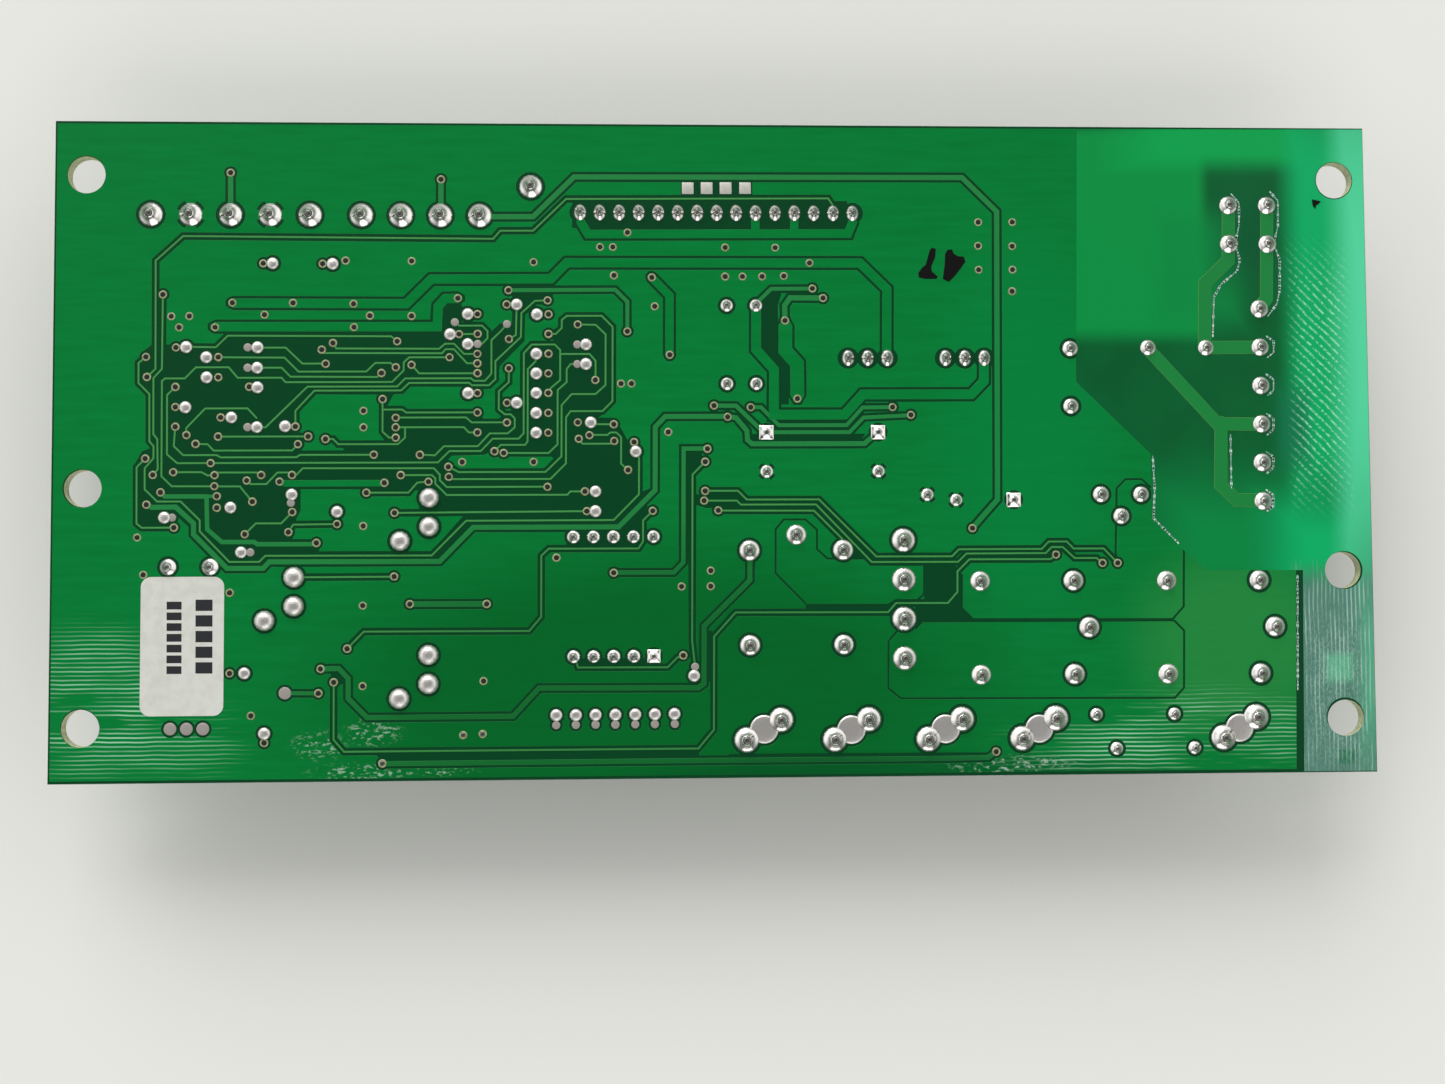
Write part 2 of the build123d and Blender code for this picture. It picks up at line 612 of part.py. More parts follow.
segment_reach = SEGMENT_LENGTH + SEGMENT_GAP
half_width = SEGMENT_WIDTH / 2
segment_sides = (-segment_reach / 2, segment_reach / 2)
upright_places = [(x, y) for x in segment_sides for y in segment_sides]
level_places = [(0, y) for y in (-segment_reach, 0, segment_reach)]
point_place = (segment_reach / 2 + SEGMENT_WIDTH + SEGMENT_GAP, -segment_reach)
with BuildPart() as display_segments:
    with BuildSketch(display_plane.offset(-DISPLAY_HEIGHT)):
        for places, turn in ((upright_places, 90), (level_places, 0)):
            with Locations(*places):
                Polygon(
                    (-SEGMENT_LENGTH / 2, 0),
                    (half_width - SEGMENT_LENGTH / 2, half_width),
                    (SEGMENT_LENGTH / 2 - half_width, half_width),
                    (SEGMENT_LENGTH / 2, 0),
                    (SEGMENT_LENGTH / 2 - half_width, -half_width),
                    (half_width - SEGMENT_LENGTH / 2, -half_width),
                    rotation=turn,
                )
        with Locations(point_place):
            RegularPolygon(SEGMENT_DOT / 2, 8)
    extrude(amount=-SEGMENT_THICKNESS)
save(display_segments, "display_segments")

# Push buttons: the plunger's flange moves in the base's well, behind the cover plate
stem = BUTTON_MOUTH - 2 * BUTTON_CLEARANCE
well_depth = BUTTON_FLANGE + BUTTON_TRAVEL + 2 * BUTTON_CLEARANCE
flange = BUTTON_WELL - 2 * BUTTON_CLEARANCE
for name, plane in button_planes.items():
    with BuildPart() as button_base:
        with BuildSketch(plane):
            Rectangle(BUTTON_SIZE, BUTTON_SIZE)
        extrude(amount=-BUTTON_HEIGHT)
        with BuildSketch(plane.offset(-BUTTON_HEIGHT)):
            Rectangle(BUTTON_WELL, BUTTON_WELL)
        extrude(amount=well_depth, mode=Mode.SUBTRACT)
    save(button_base, name + "_base")
    with BuildPart() as button_plunger:
        with BuildSketch(plane.offset(BUTTON_CLEARANCE - BUTTON_HEIGHT)):
            Rectangle(flange, flange)
        extrude(amount=BUTTON_FLANGE)
        with BuildSketch(plane.offset(BUTTON_CLEARANCE - BUTTON_HEIGHT)):
            Rectangle(stem, stem)
        extrude(amount=-BUTTON_CLEARANCE - BUTTON_COVER - BUTTON_STEM_OUT)
    save(button_plunger, name + "_plunger")
with BuildPart() as button_covers:
    for plane in button_planes.values():
        with BuildSketch(plane.offset(-BUTTON_HEIGHT)):
            Rectangle(BUTTON_SIZE, BUTTON_SIZE)
            Rectangle(BUTTON_MOUTH, BUTTON_MOUTH, mode=Mode.SUBTRACT)
        extrude(amount=-BUTTON_COVER)
save(button_covers, "button_covers")

# Regulators: a metal plate against the board, a moulding on it and three bent leads
plate_start = regulator_y + REGULATOR_LEAD_RUN
lead_start = face - REGULATOR_LEAD_DROP - REGULATOR_LEAD / 2
with BuildPart() as regulator_mouldings:
    with BuildSketch(Plane.XY.offset(face - REGULATOR_PLATE)):
        for share in REGULATOR_X_SHARES:
            with Locations(((share - 0.5) * BOARD_LENGTH, plate_start + REGULATOR_MOULDING / 2)):
                Rectangle(REGULATOR_WIDTH, REGULATOR_MOULDING)
    extrude(amount=-REGULATOR_MOULDING_HEIGHT)
save(regulator_mouldings, "regulator_mouldings")
with BuildPart() as regulator_plates:
    with BuildSketch(Plane.XY.offset(face)):
        for share in REGULATOR_X_SHARES:
            middle_x = (share - 0.5) * BOARD_LENGTH
            with Locations((middle_x, plate_start + REGULATOR_LENGTH / 2)):
                Rectangle(REGULATOR_WIDTH, REGULATOR_LENGTH)
            with Locations((middle_x, plate_start + REGULATOR_LENGTH - REGULATOR_HOLE_FROM_END)):
                RegularPolygon(REGULATOR_HOLE_D / 2, 8, mode=Mode.SUBTRACT)
    extrude(amount=-REGULATOR_PLATE)
save(regulator_plates, "regulator_plates")
with BuildPart() as regulator_leads:
    with BuildSketch(Plane.XY.offset(lead_start)):
        with Locations(*regulator_pins):
            Rectangle(REGULATOR_LEAD, REGULATOR_LEAD)
    extrude(amount=top - lead_start)
    with BuildSketch(Plane.XY.offset(lead_start)):
        with Locations(*[(x, y + REGULATOR_LEAD_RUN / 2) for x, y in regulator_pins]):
            Rectangle(REGULATOR_LEAD, REGULATOR_LEAD_RUN)
    extrude(amount=REGULATOR_LEAD)
save(regulator_leads, "regulator_leads")

# Motor transistor: the middle lead steps forward of the moulding before it goes into the board
transistor_plane = level(TRANSISTOR_SHARES)
with BuildPart() as motor_transistor_moulding:
    with BuildSketch(transistor_plane.offset(-TRANSISTOR_STAND_OFF)):
        Rectangle(TRANSISTOR_WIDTH, TRANSISTOR_THICKNESS)
    extrude(amount=-TRANSISTOR_HEIGHT)
    chamfer(motor_transistor_moulding.faces().sort_by(Axis.Z)[0].edges(), TRANSISTOR_BEVEL)
save(motor_transistor_moulding, "motor_transistor_moulding")
with BuildPart() as motor_transistor_leads:
    with BuildSketch(transistor_plane.offset(-TRANSISTOR_STAND_OFF)):
        with Locations(*transistor_places):
            Rectangle(TRANSISTOR_LEAD, TRANSISTOR_LEAD)
    extrude(amount=TRANSISTOR_STAND_OFF + BOARD_THICKNESS)
    with BuildSketch(transistor_plane.offset(-TRANSISTOR_STAND_OFF)):
        with Locations((0, -TRANSISTOR_STAGGER / 2)):
            Rectangle(TRANSISTOR_LEAD, TRANSISTOR_STAGGER)
    extrude(amount=TRANSISTOR_LEAD)
save(motor_transistor_leads, "motor_transistor_leads")

# Electrolytic capacitors: round cans with a bevelled rim at the far end
cans = [("capacitor_a", spot(CAPACITOR_SHARES[0]), CAPACITOR_D, CAPACITOR_HEIGHT)]
cans.append(("capacitor_b", spot(CAPACITOR_SHARES[1]), CAPACITOR_D, CAPACITOR_HEIGHT))
cans.append(("reservoir_capacitor", (reservoir_x, reservoir_y), RESERVOIR_D, RESERVOIR_HEIGHT))
for name, (x, y), diameter, height in cans:
    with BuildPart() as can:
        with BuildSketch(Plane.XY.offset(face)):
            with Locations((x, y)):
                Circle(diameter / 2)
        extrude(amount=-height)
        chamfer(can.faces().sort_by(Axis.Z)[0].edges(), CAN_RIM)
    save(can, name + "_can")

with BuildPart() as film_capacitor:
    with BuildSketch(level(FILM_SHARES)):
        Rectangle(FILM_THICKNESS, FILM_LENGTH)
    extrude(amount=-FILM_HEIGHT)
save(film_capacitor, "film_capacitor_body")


def coated_disc(plane, diameter, thickness):
    """Coated disc on edge, with a flat skirt that its two leads come out of."""
    origin = plane.offset(-DISC_STAND_OFF).origin
    with BuildPart() as disc:
        with BuildSketch(Plane(origin=origin, x_dir=(1, 0, 0), z_dir=(0, -1, 0))):
            with Locations((0, -diameter / 2)):
                Circle(diameter / 2)
            with Locations((0, -diameter / 4)):
                Rectangle(diameter, diameter / 2)
        extrude(amount=thickness / 2, both=True)
    return disc


save(coated_disc(varistor_plane, VARISTOR_D, VARISTOR_THICKNESS), "varistor_body")
save(coated_disc(level(DISC_SHARES), DISC_D, DISC_THICKNESS), "disc_capacitor_body")


def axial_bodies(planes, diameter, length):
    """Round bodies that lie just clear of the board, on the line between their leads."""
    with BuildPart() as bodies:
        for plane in planes:
            centre = plane.offset(-AXIAL_GAP - diameter / 2).origin
            with BuildSketch(Plane(origin=centre, x_dir=plane.y_dir, z_dir=plane.x_dir)):
                Circle(diameter / 2)
            extrude(amount=length / 2, both=True)
    return bodies


def axial_wires(families):
    """Wires from the ends of the bodies, bent up into the board."""
    with BuildPart() as wires:
        for planes, diameter, length in families:
            drop = AXIAL_GAP + diameter / 2 + AXIAL_LEAD / 2
            run = (AXIAL_PITCH - length) / 2
            for plane in planes:
                with BuildSketch(plane.offset(-drop)):
                    with Locations(*[(x, 0) for x in row_offsets(2, AXIAL_PITCH)]):
                        Rectangle(AXIAL_LEAD, AXIAL_LEAD)
                extrude(amount=drop + BOARD_THICKNESS)
                with BuildSketch(plane.offset(-drop)):
                    with Locations(*[(x, 0) for x in row_offsets(2, length + run)]):
                        Rectangle(run, AXIAL_LEAD)
                extrude(amount=AXIAL_LEAD)
    return wires


diodes = ([level(shares, (0, 1, 0)) for shares in DIODE_SHARES], DIODE_D, DIODE_LENGTH)
resistors = ([level(shares) for shares in RESISTOR_SHARES], RESISTOR_D, RESISTOR_LENGTH)
save(axial_bodies(*diodes), "diode_bodies")
save(axial_bodies(*resistors), "resistor_bodies")
save(axial_wires([diodes, resistors]), "axial_leads")

# Surface-mounted parts: bodies on the component face, with feet at their sides
controller_plane = level(CONTROLLER_SHARES)
with BuildPart() as controller_body:
    with BuildSketch(controller_plane):
        Rectangle(CONTROLLER_SIZE, CONTROLLER_SIZE)
    extrude(amount=-CONTROLLER_HEIGHT)
save(controller_body, "controller_body")

driver_plane = level(DRIVER_SHARES, (0, 1, 0))
with BuildPart() as driver_body:
    with BuildSketch(driver_plane):
        Rectangle(DRIVER_PAIRS * DRIVER_PITCH, DRIVER_WIDTH)
    extrude(amount=-DRIVER_HEIGHT)
save(driver_body, "driver_body")
controller_row = row_offsets(CONTROLLER_LEAD_COUNT, CONTROLLER_PITCH)
controller_reach = (CONTROLLER_SIZE + FOOT_LENGTH) / 2
driver_row = row_offsets(DRIVER_PAIRS, DRIVER_PITCH)
driver_reach = (DRIVER_WIDTH + FOOT_LENGTH) / 2
with BuildPart() as chip_feet:
    with BuildSketch(controller_plane):
        with Locations(*[(x, y) for x in (-controller_reach, controller_reach) for y in controller_row]):
            Rectangle(FOOT_LENGTH, FOOT_WIDTH)
        with Locations(*[(x, y) for x in controller_row for y in (-controller_reach, controller_reach)]):
            Rectangle(FOOT_WIDTH, FOOT_LENGTH)
    extrude(amount=-FOOT_RISE)
    with BuildSketch(driver_plane):
        with Locations(*[(x, y) for x in driver_row for y in (-driver_reach, driver_reach)]):
            Rectangle(FOOT_WIDTH, FOOT_LENGTH)
    extrude(amount=-FOOT_RISE)
save(chip_feet, "chip_feet")

with BuildPart() as flat_resistors:
    with BuildSketch(level(FLAT_RESISTOR_SHARES)):
        with GridLocations(FLAT_PITCH_X, FLAT_PITCH_Y, FLAT_RESISTOR_COLUMNS, FLAT_ROWS):
            Rectangle(FLAT_LENGTH, FLAT_WIDTH)
    extrude(amount=-FLAT_RESISTOR_HEIGHT)
save(flat_resistors, "flat_resistors")
with BuildPart() as flat_capacitors:
    with BuildSketch(level(FLAT_CAPACITOR_SHARES)):
        with GridLocations(FLAT_PITCH_X, FLAT_PITCH_Y, FLAT_CAPACITOR_COLUMNS, FLAT_ROWS):
            Rectangle(FLAT_LENGTH, FLAT_WIDTH)
    extrude(amount=-FLAT_CAPACITOR_HEIGHT)
save(flat_capacitors, "flat_capacitors")


def solder(families):
    """Solder joints on the solder face: each rises from its pad to a point over the pin."""
    with BuildPart() as joints:
        for points, width, length, height, cut_share in families:
            with BuildSketch(Plane.XY.offset(top), mode=Mode.PRIVATE) as pads:
                with Locations(*points):
                    Rectangle(width, length)
                if cut_share:
                    chamfer(pads.vertices(), cut_share * width)
            for pad in pads.sketch.faces():
                loft(sections=[pad, Vertex(pad.center() + Vector(0, 0, height))])
    return joints


def round_solder(points, width, height):
    """One family of eight-sided joints."""
    return (points, width, width, height, OCTAGON_CUT_SHARE)


terminal_points = five_pins + four_pins + [aerial_point]
save(solder([round_solder(terminal_points, TERMINAL_SOLDER, HIGH_SOLDER)]), "terminal_joints")
save(solder([round_solder(mains_pins + inlet_pins, MAINS_SOLDER, HIGH_SOLDER)]), "mains_joints")
save(solder([round_solder(relay_pins, RELAY_SOLDER, HIGH_SOLDER)]), "relay_joints")
bridge_solder = round_solder(bridge_pins, POWER_SOLDER, HIGH_SOLDER)
with BuildPart() as power_joints:
    add(solder([bridge_solder, round_solder(tab_legs, TAB_SOLDER, HIGH_SOLDER)]).part)
    with BuildSketch(Plane.XY.offset(top)):
        with Locations(*[spot(shares) for shares in TAB_SHARES]):
            RegularPolygon(TAB_PAD_D / 2, 12)
    extrude(amount=TAB_PAD_HEIGHT, taper=SOLDER_TAPER)
save(power_joints, "power_joints")
oval_size = (OVAL_SOLDER_WIDTH, OVAL_SOLDER_LENGTH, LOW_SOLDER, OCTAGON_CUT_SHARE)
save(solder([(socket_pins + regulator_pins, *oval_size)]), "oval_joints")
round_display = round_solder(display_pins, SMALL_LEAD_SOLDER, LOW_SOLDER)
small_points = diode_pins + resistor_pins + capacitor_minus + [spot(FILLED_HOLE_SHARES)]
small_joints = round_solder(small_points, SMALL_LEAD_SOLDER, LOW_SOLDER)
large_points = film_pins + varistor_pins + disc_pins + transistor_pins
large_joints = round_solder(large_points, LARGE_LEAD_SOLDER, HIGH_SOLDER)
square_joints = (capacitor_plus, SQUARE_SOLDER, SQUARE_SOLDER, LOW_SOLDER, 0)
save(solder([round_display, small_joints, large_joints, square_joints]), "lead_joints")

# The push buttons' pins end inside the board, so their joints are low domes
with BuildPart() as button_joints:
    with BuildSketch(Plane.XY.offset(top)):
        with Locations(*button_pins):
            RegularPolygon(BUTTON_SOLDER / 2, 8)
    extrude(amount=LOW_SOLDER, taper=SOLDER_TAPER)
save(button_joints, "button_joints")
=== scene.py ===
import json
import math
import random

import bmesh
import bpy
import numpy as np
from mathutils import Matrix, Vector, geometry


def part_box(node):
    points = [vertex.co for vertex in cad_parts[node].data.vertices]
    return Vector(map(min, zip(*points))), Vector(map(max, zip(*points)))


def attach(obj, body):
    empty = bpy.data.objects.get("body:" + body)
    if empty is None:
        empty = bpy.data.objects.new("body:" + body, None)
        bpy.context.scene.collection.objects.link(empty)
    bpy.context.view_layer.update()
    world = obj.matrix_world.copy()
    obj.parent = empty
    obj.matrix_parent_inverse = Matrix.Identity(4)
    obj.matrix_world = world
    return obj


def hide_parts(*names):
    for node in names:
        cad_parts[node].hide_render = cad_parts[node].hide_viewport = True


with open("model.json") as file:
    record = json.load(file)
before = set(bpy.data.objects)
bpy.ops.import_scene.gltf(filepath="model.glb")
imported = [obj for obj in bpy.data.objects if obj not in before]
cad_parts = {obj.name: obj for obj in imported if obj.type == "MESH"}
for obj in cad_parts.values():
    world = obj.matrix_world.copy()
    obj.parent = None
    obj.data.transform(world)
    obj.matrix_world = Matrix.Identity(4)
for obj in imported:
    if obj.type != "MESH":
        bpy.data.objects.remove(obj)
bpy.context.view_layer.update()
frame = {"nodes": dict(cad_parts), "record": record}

# The photograph's frame and the corners of the solder face in it, in its own pixels
PHOTO_WIDTH = 1445
PHOTO_HEIGHT = 1084
FAR_LEFT_PIXEL = (53, 120.5)
FAR_RIGHT_PIXEL = (1363.5, 131)
NEAR_RIGHT_PIXEL = (1380, 772)
NEAR_LEFT_PIXEL = (46, 782)
LENS_PIXELS = 1500
SENSOR_WIDTH = 36.0
NEAREST_SEEN = 0.01

# Sizes in metres, and widths of the copper work in the photograph's pixels
MM = 0.001
PIXEL = 0.1302 * MM
COPPER_RISE = 0.035 * MM
CLEAR_RISE = 0.2 * COPPER_RISE
MASK_SLOPE = 0.04 * MM
SIGNAL_WIDTH = 1.5
SIGNAL_GAP = 3.2
POWER_GAP = 2.8
SPLIT_WIDTH = 2.4
VIA_RING = 4.3
VIA_HOLE = 2.7
DOME_RADIUS = 6.3
SMALL_DOME_RADIUS = 4.2
RING_GAP = 2.5
NECK_WIDTH = 4.0
MAINS_WIDTH = 13.0
MOUNTING_HOLE_RADIUS = 2.5 * MM
# How near, in pixels, a plated hole is to the track that ends in it, and a joint to its pixel in a list
TRACK_END_REACH = 2.5
JOINT_REACH = 6
SQUARE_JOINT_REACH = 4

board_low, board_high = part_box("board")
top = board_high.z
BODY = "control_board"

# Copper work of the solder side, read from the photograph in its pixels.
# The pour is the wide sheet of copper; the mains corner has bare laminate instead.
POUR = [
    (55, 123), (1077, 131), (1077, 383), (1152, 455), (1153, 520), (1183, 549), (1208.5, 571), (1298, 571),
    (1299, 769), (48, 779),
]
MAINS_CORNER = [
    (1077, 131), (1363.2, 132), (1374.4, 571), (1298, 571), (1208.5, 571), (1183, 549), (1153, 520),
    (1152, 455), (1077, 383),
]
RIGHT_BORDER = [(1305, 571), (1374.4, 571), (1379.5, 771), (1307, 771.5)]

# Laminate that shows between the tracks, and the islands of pour inside it
LOGIC_CLEARING = [
    (150, 343.5), (215.5, 343.5), (222, 334), (220, 332.3), (436, 332.3), (443, 325), (443, 304.5),
    (461, 304.5), (461, 322.3), (482.5, 322.3), (490.5, 331.5), (499, 323), (511, 323), (511, 294),
    (552, 294), (552, 330), (558, 326), (558, 319), (565, 312.6), (602.5, 312.6), (615.5, 325.5),
    (615.5, 403), (603, 414.5), (598, 417.5), (614, 417.5), (621, 428.5), (628, 441), (641.5, 458),
    (641.5, 491.5), (650, 488), (657, 490.5), (647.5, 502), (647, 517), (646, 529), (640.5, 546),
    (566, 546), (566, 529), (473, 529), (439, 563), (269, 563), (262, 570), (223, 570), (187.5, 534),
    (187, 526), (177, 516.5), (174, 530), (138, 529), (132, 523), (132, 464), (140, 450), (150, 446),
    (145, 440), (145, 395), (134.5, 384), (134.5, 361), (141, 350),
]
CLEARINGS = [
    LOGIC_CLEARING,
    [(571, 202), (847, 202), (847, 228.5), (571, 228.5)],
    [(680, 181), (752, 181), (752, 197), (680, 197)],
    [(761, 303), (772, 292), (782, 292), (778, 306), (778, 352), (789, 366), (789, 405), (779, 405),
     (779, 368), (761, 350)],
    [(750, 434), (866, 434), (861, 442), (752, 442)],
    [(686, 451), (703, 451), (700, 466), (690, 476), (690, 562), (686, 566)],
    [(693, 494), (738, 494), (745, 502), (745, 508), (706, 508), (693, 504)],
    [(707, 630), (713, 630), (713, 681), (707, 681)],
    [(372, 751), (700, 750), (700, 756.5), (382, 759)],
    [(806, 603.5), (893, 603.5), (888, 610), (806, 610)],
    [(925, 564), (957, 564), (957, 592), (948, 601), (925, 601)],
    [(916, 606), (950, 606), (962, 594), (963, 608), (974, 618), (1176, 618.5), (1176, 622), (924, 622.5),
     (917, 630)],
    [(852, 543), (868, 558.5), (853, 559)],
    [(328, 670), (336, 671), (345, 678), (344, 683), (335, 683)],
    [(575, 657), (660, 657), (660, 664), (578, 664)],
]
ISLANDS = [
    [(386, 405.5), (392, 395), (402, 387), (412, 385), (470, 385.5), (490, 388), (500, 365), (524, 341),
     (524, 305), (552, 305), (552, 341.5), (530, 341.5), (519.5, 352), (519.5, 397), (511, 409),
     (497, 418.5), (483, 418.5), (474, 408), (405, 408.5), (399, 405.5)],
    [(314, 393.5), (377, 393.5), (378, 433), (384, 440.5), (337, 440.5), (343, 449.5), (301, 449.5),
     (298.5, 440), (298.5, 409)],
    [(447, 459.5), (451, 455.3), (484, 454.5), (490, 451), (505, 456), (550, 456), (553, 458), (543, 468),
     (459, 468)],
    [(299.5, 488.5), (360, 488.5), (372, 494), (409, 494), (413, 490), (418, 489.5), (418, 514.5),
     (463, 514.5), (431, 550), (317.5, 550), (322, 541), (312, 537.8), (291.5, 537.8), (294, 526),
     (295.5, 517), (299.5, 510)],
]

# Thin splits that part one sheet of pour from the next
SPLITS = [
    [(868, 558.5), (828, 558.5), (817.5, 549), (817.5, 530), (806, 519.5), (784, 519.5), (776, 529),
     (776, 573), (806, 603)],
    [(925, 566), (925, 594), (918, 600), (897, 600), (890, 604)],
    [(1152, 488), (1143, 480), (1127, 480), (1118, 489), (1117, 553), (1119, 563)],
    [(1185.5, 550), (1185.5, 607), (1175, 619)],
    [(898, 631), (889.5, 641), (889.5, 688), (902, 698), (1177, 698), (1186, 688), (1186, 631),
     (1176, 621)],
    [(963, 575), (963, 608), (974, 619)],
    [(730, 754), (990, 753)],
]

# Signal tracks
SIGNALS = [
    [(145, 376), (153.5, 368), (153.5, 260), (181, 235.6), (492, 239), (499, 231), (532, 231), (565, 199.5),
     (828, 199.5), (833, 207)],
    [(160.8, 293.5), (160, 368), (151.5, 377), (151.5, 433), (155.5, 438), (156, 468), (151.5, 473.5)],
    [(143.9, 356), (136.5, 362), (136.5, 382), (147.5, 393), (147.5, 440), (151.7, 445), (151.7, 457),
     (142.9, 467), (142.9, 488), (155.5, 500.2), (179, 500.2), (198.3, 519), (198.3, 530), (228, 560.5),
     (258, 560.5), (264, 554.5), (431, 554.5), (465.5, 520), (613.5, 519.6), (638.8, 494), (638.8, 457)],
    [(184, 346), (214, 346.5), (226, 335), (390, 336), (396, 341)],
    [(255, 347), (284, 347), (301, 363), (324, 363)],
    [(331.5, 342.5), (335, 348), (438, 348.5), (444, 343.5), (453, 343.5), (463, 353.7), (476, 353.7)],
    [(320, 349), (323, 352.5), (441, 353), (444.5, 349), (453, 349), (466, 363), (476.4, 363)],
    [(216.5, 356.5), (283, 357), (297, 371), (365, 371), (374, 362.5), (389, 362.5), (394.6, 367)],
    [(255, 367), (280, 367), (289, 376), (376, 376.5), (380, 372.6)],
    [(251, 500.5), (238.5, 485.3), (170, 485), (159.7, 475), (160, 380), (163, 377.5), (183, 377.5),
     (194, 366.5), (227, 366.5), (236, 377), (280, 377), (284, 381.5), (391, 381.5), (402.5, 370),
     (402.5, 362), (408, 357), (448.5, 357)],
    [(173.5, 386), (165.2, 394), (165.2, 453), (175.5, 462), (437, 461.8), (448.5, 450.5), (480, 450.5),
     (492, 438.3), (518, 438.3), (523, 433), (523, 353), (531, 344.5), (554, 344.5), (559.5, 350),
     (559.5, 380), (550, 388), (547.7, 392.8)],
    [(173.5, 425.7), (172, 445), (181.5, 454), (215, 454), (219, 456.3), (295, 456.3), (298.6, 454),
     (372.7, 454)],
    [(184.5, 434), (184.5, 427), (203.5, 407.5), (246, 407.5), (255, 417)],
    [(255, 426), (264, 426.5), (306, 386), (396, 386), (404, 378), (470, 378), (473, 380.5), (484, 380.5),
     (490.5, 373.5), (490.5, 340), (500, 331), (506, 324)],
    [(294, 425.5), (294, 410), (313, 390), (400, 390), (408, 382.5), (468, 382.5), (471, 385), (488, 385),
     (494.5, 379), (494.5, 361), (520, 337), (520.5, 313), (534, 301), (546.7, 300.5)],
    [(216.5, 435.6), (306.8, 435.6)],
    [(194, 442.8), (206, 443.2), (212, 449.5), (291, 449.5), (296.6, 443.3)],
    [(324, 438.3), (332, 438.3), (337, 443.4), (397, 443.5), (404, 437), (404, 427)],
    [(410.4, 364.5), (418, 373), (476.6, 373)],
    [(453.7, 322), (458, 325.5), (481, 325.5), (486.5, 331), (486.5, 338), (481, 343.8)],
    [(458, 334), (476.6, 333.8)],
    [(381.4, 398.6), (381.4, 431), (388, 437), (394.6, 437)],
    [(382, 409), (401, 409), (405, 412), (476.6, 412)],
    [(394.6, 417), (465, 417), (471, 422), (506, 422)],
    [(394.6, 426.7), (463, 426.7), (468, 432), (476.6, 432)],
    [(508, 368), (508, 382), (498, 391), (498, 409), (504, 414), (510, 414), (514, 418), (514, 427),
     (507, 433), (489, 433), (477, 445.7), (443, 445.7), (434, 454.8), (419, 454)],
    [(535.5, 353.7), (535, 361), (527, 369), (527, 441), (524.5, 444.5), (500, 444.5), (493.8, 450.8)],
    [(515.7, 304.5), (515, 335), (508, 339)],
    [(547.7, 334), (555, 334), (561, 328), (561, 320), (566, 316), (601, 316), (612, 327), (612, 401),
     (602, 411), (570, 411), (565.5, 417), (565.5, 463), (550, 478.5), (452, 478.5), (448, 476.2)],
    [(577, 324.6), (595, 325), (605, 334.5), (605, 385), (595, 394), (571, 394), (561, 405), (561, 456),
     (545, 471.5), (458, 471.5), (447.5, 466.2)],
    [(503, 452.5), (548, 452.7), (557, 444), (557, 390), (566, 382), (566, 369), (570, 364), (577, 364)],
    [(560, 354), (589, 354), (595, 361), (595, 380)],
    [(613.4, 424.2), (590, 424)],
    [(589, 434.7), (607, 434.7), (610, 432.3), (616, 432.3), (620.8, 437), (620.8, 463.5), (627.8, 469.7)],
    [(578.3, 438.6), (582, 443.5), (610, 443.5), (613.9, 440.8)],
    [(143.4, 457.3), (134.8, 466), (134.8, 522), (140, 526.3), (172.3, 526.2)],
    [(171.5, 471), (200, 471), (206, 474.3), (213, 474), (216, 471.4), (255, 471.4), (259.8, 474)],
    [(245, 479.4), (249, 483), (265, 483), (276, 471.5), (287, 471.5), (290.7, 474), (295, 474),
     (301.5, 467.3), (433, 467.6), (439, 474), (439, 479.5), (446, 486.4), (547, 486.2)],
    [(243.4, 533), (254.5, 522.2), (280, 522.2), (291, 511)],
    [(287.2, 531), (292, 523.5), (335.9, 523)],
    [(365.3, 491.8), (407.5, 491.8), (416.5, 481.8), (427.6, 481)],
    [(393.6, 512), (586.5, 510.7)],
    [(399.8, 474.4), (431, 474.4), (434.5, 477.5), (434.5, 483), (446, 494.3), (567, 494.3), (570, 491),
     (584.6, 491)],
    [(652.7, 510.5), (643, 520), (643, 541), (638.5, 548), (548.5, 548), (541, 555), (541, 616), (529, 630),
     (363, 630.3), (346.4, 647.3)],
    [(705, 461.7), (692.5, 474.5), (692.5, 640), (695.5, 666)],
    [(705, 490.7), (738, 490.7), (747, 499.5), (819.5, 499.5), (877, 556.5), (953, 556.5), (960, 549.5),
     (1043, 549.3), (1050, 542), (1068, 542), (1075, 549), (1105, 549), (1119, 563.4)],
    [(704, 500.5), (737, 500.5), (741, 504.5), (816.5, 504.5), (872.5, 562), (959, 562), (967.5, 553.8),
     (1047, 553.5), (1053, 547.5), (1064, 547.5), (1076, 558.5), (1098, 558.5), (1103.7, 563.4)],
    [(718, 510.4), (814.5, 510.7), (843, 539)],
    [(1057.3, 555), (1052, 559.5), (970.5, 559.5), (958.5, 571.5), (958.5, 592), (949, 603), (897, 603),
     (889, 612), (736, 612), (714.5, 636), (714.5, 729), (699, 747.5), (343.5, 750), (333, 738),
     (333, 681)],
    [(574.4, 655), (578, 666.5), (668, 666.5), (678, 656.5), (683.7, 655)],
    [(292, 576), (393.4, 575.6)],
]

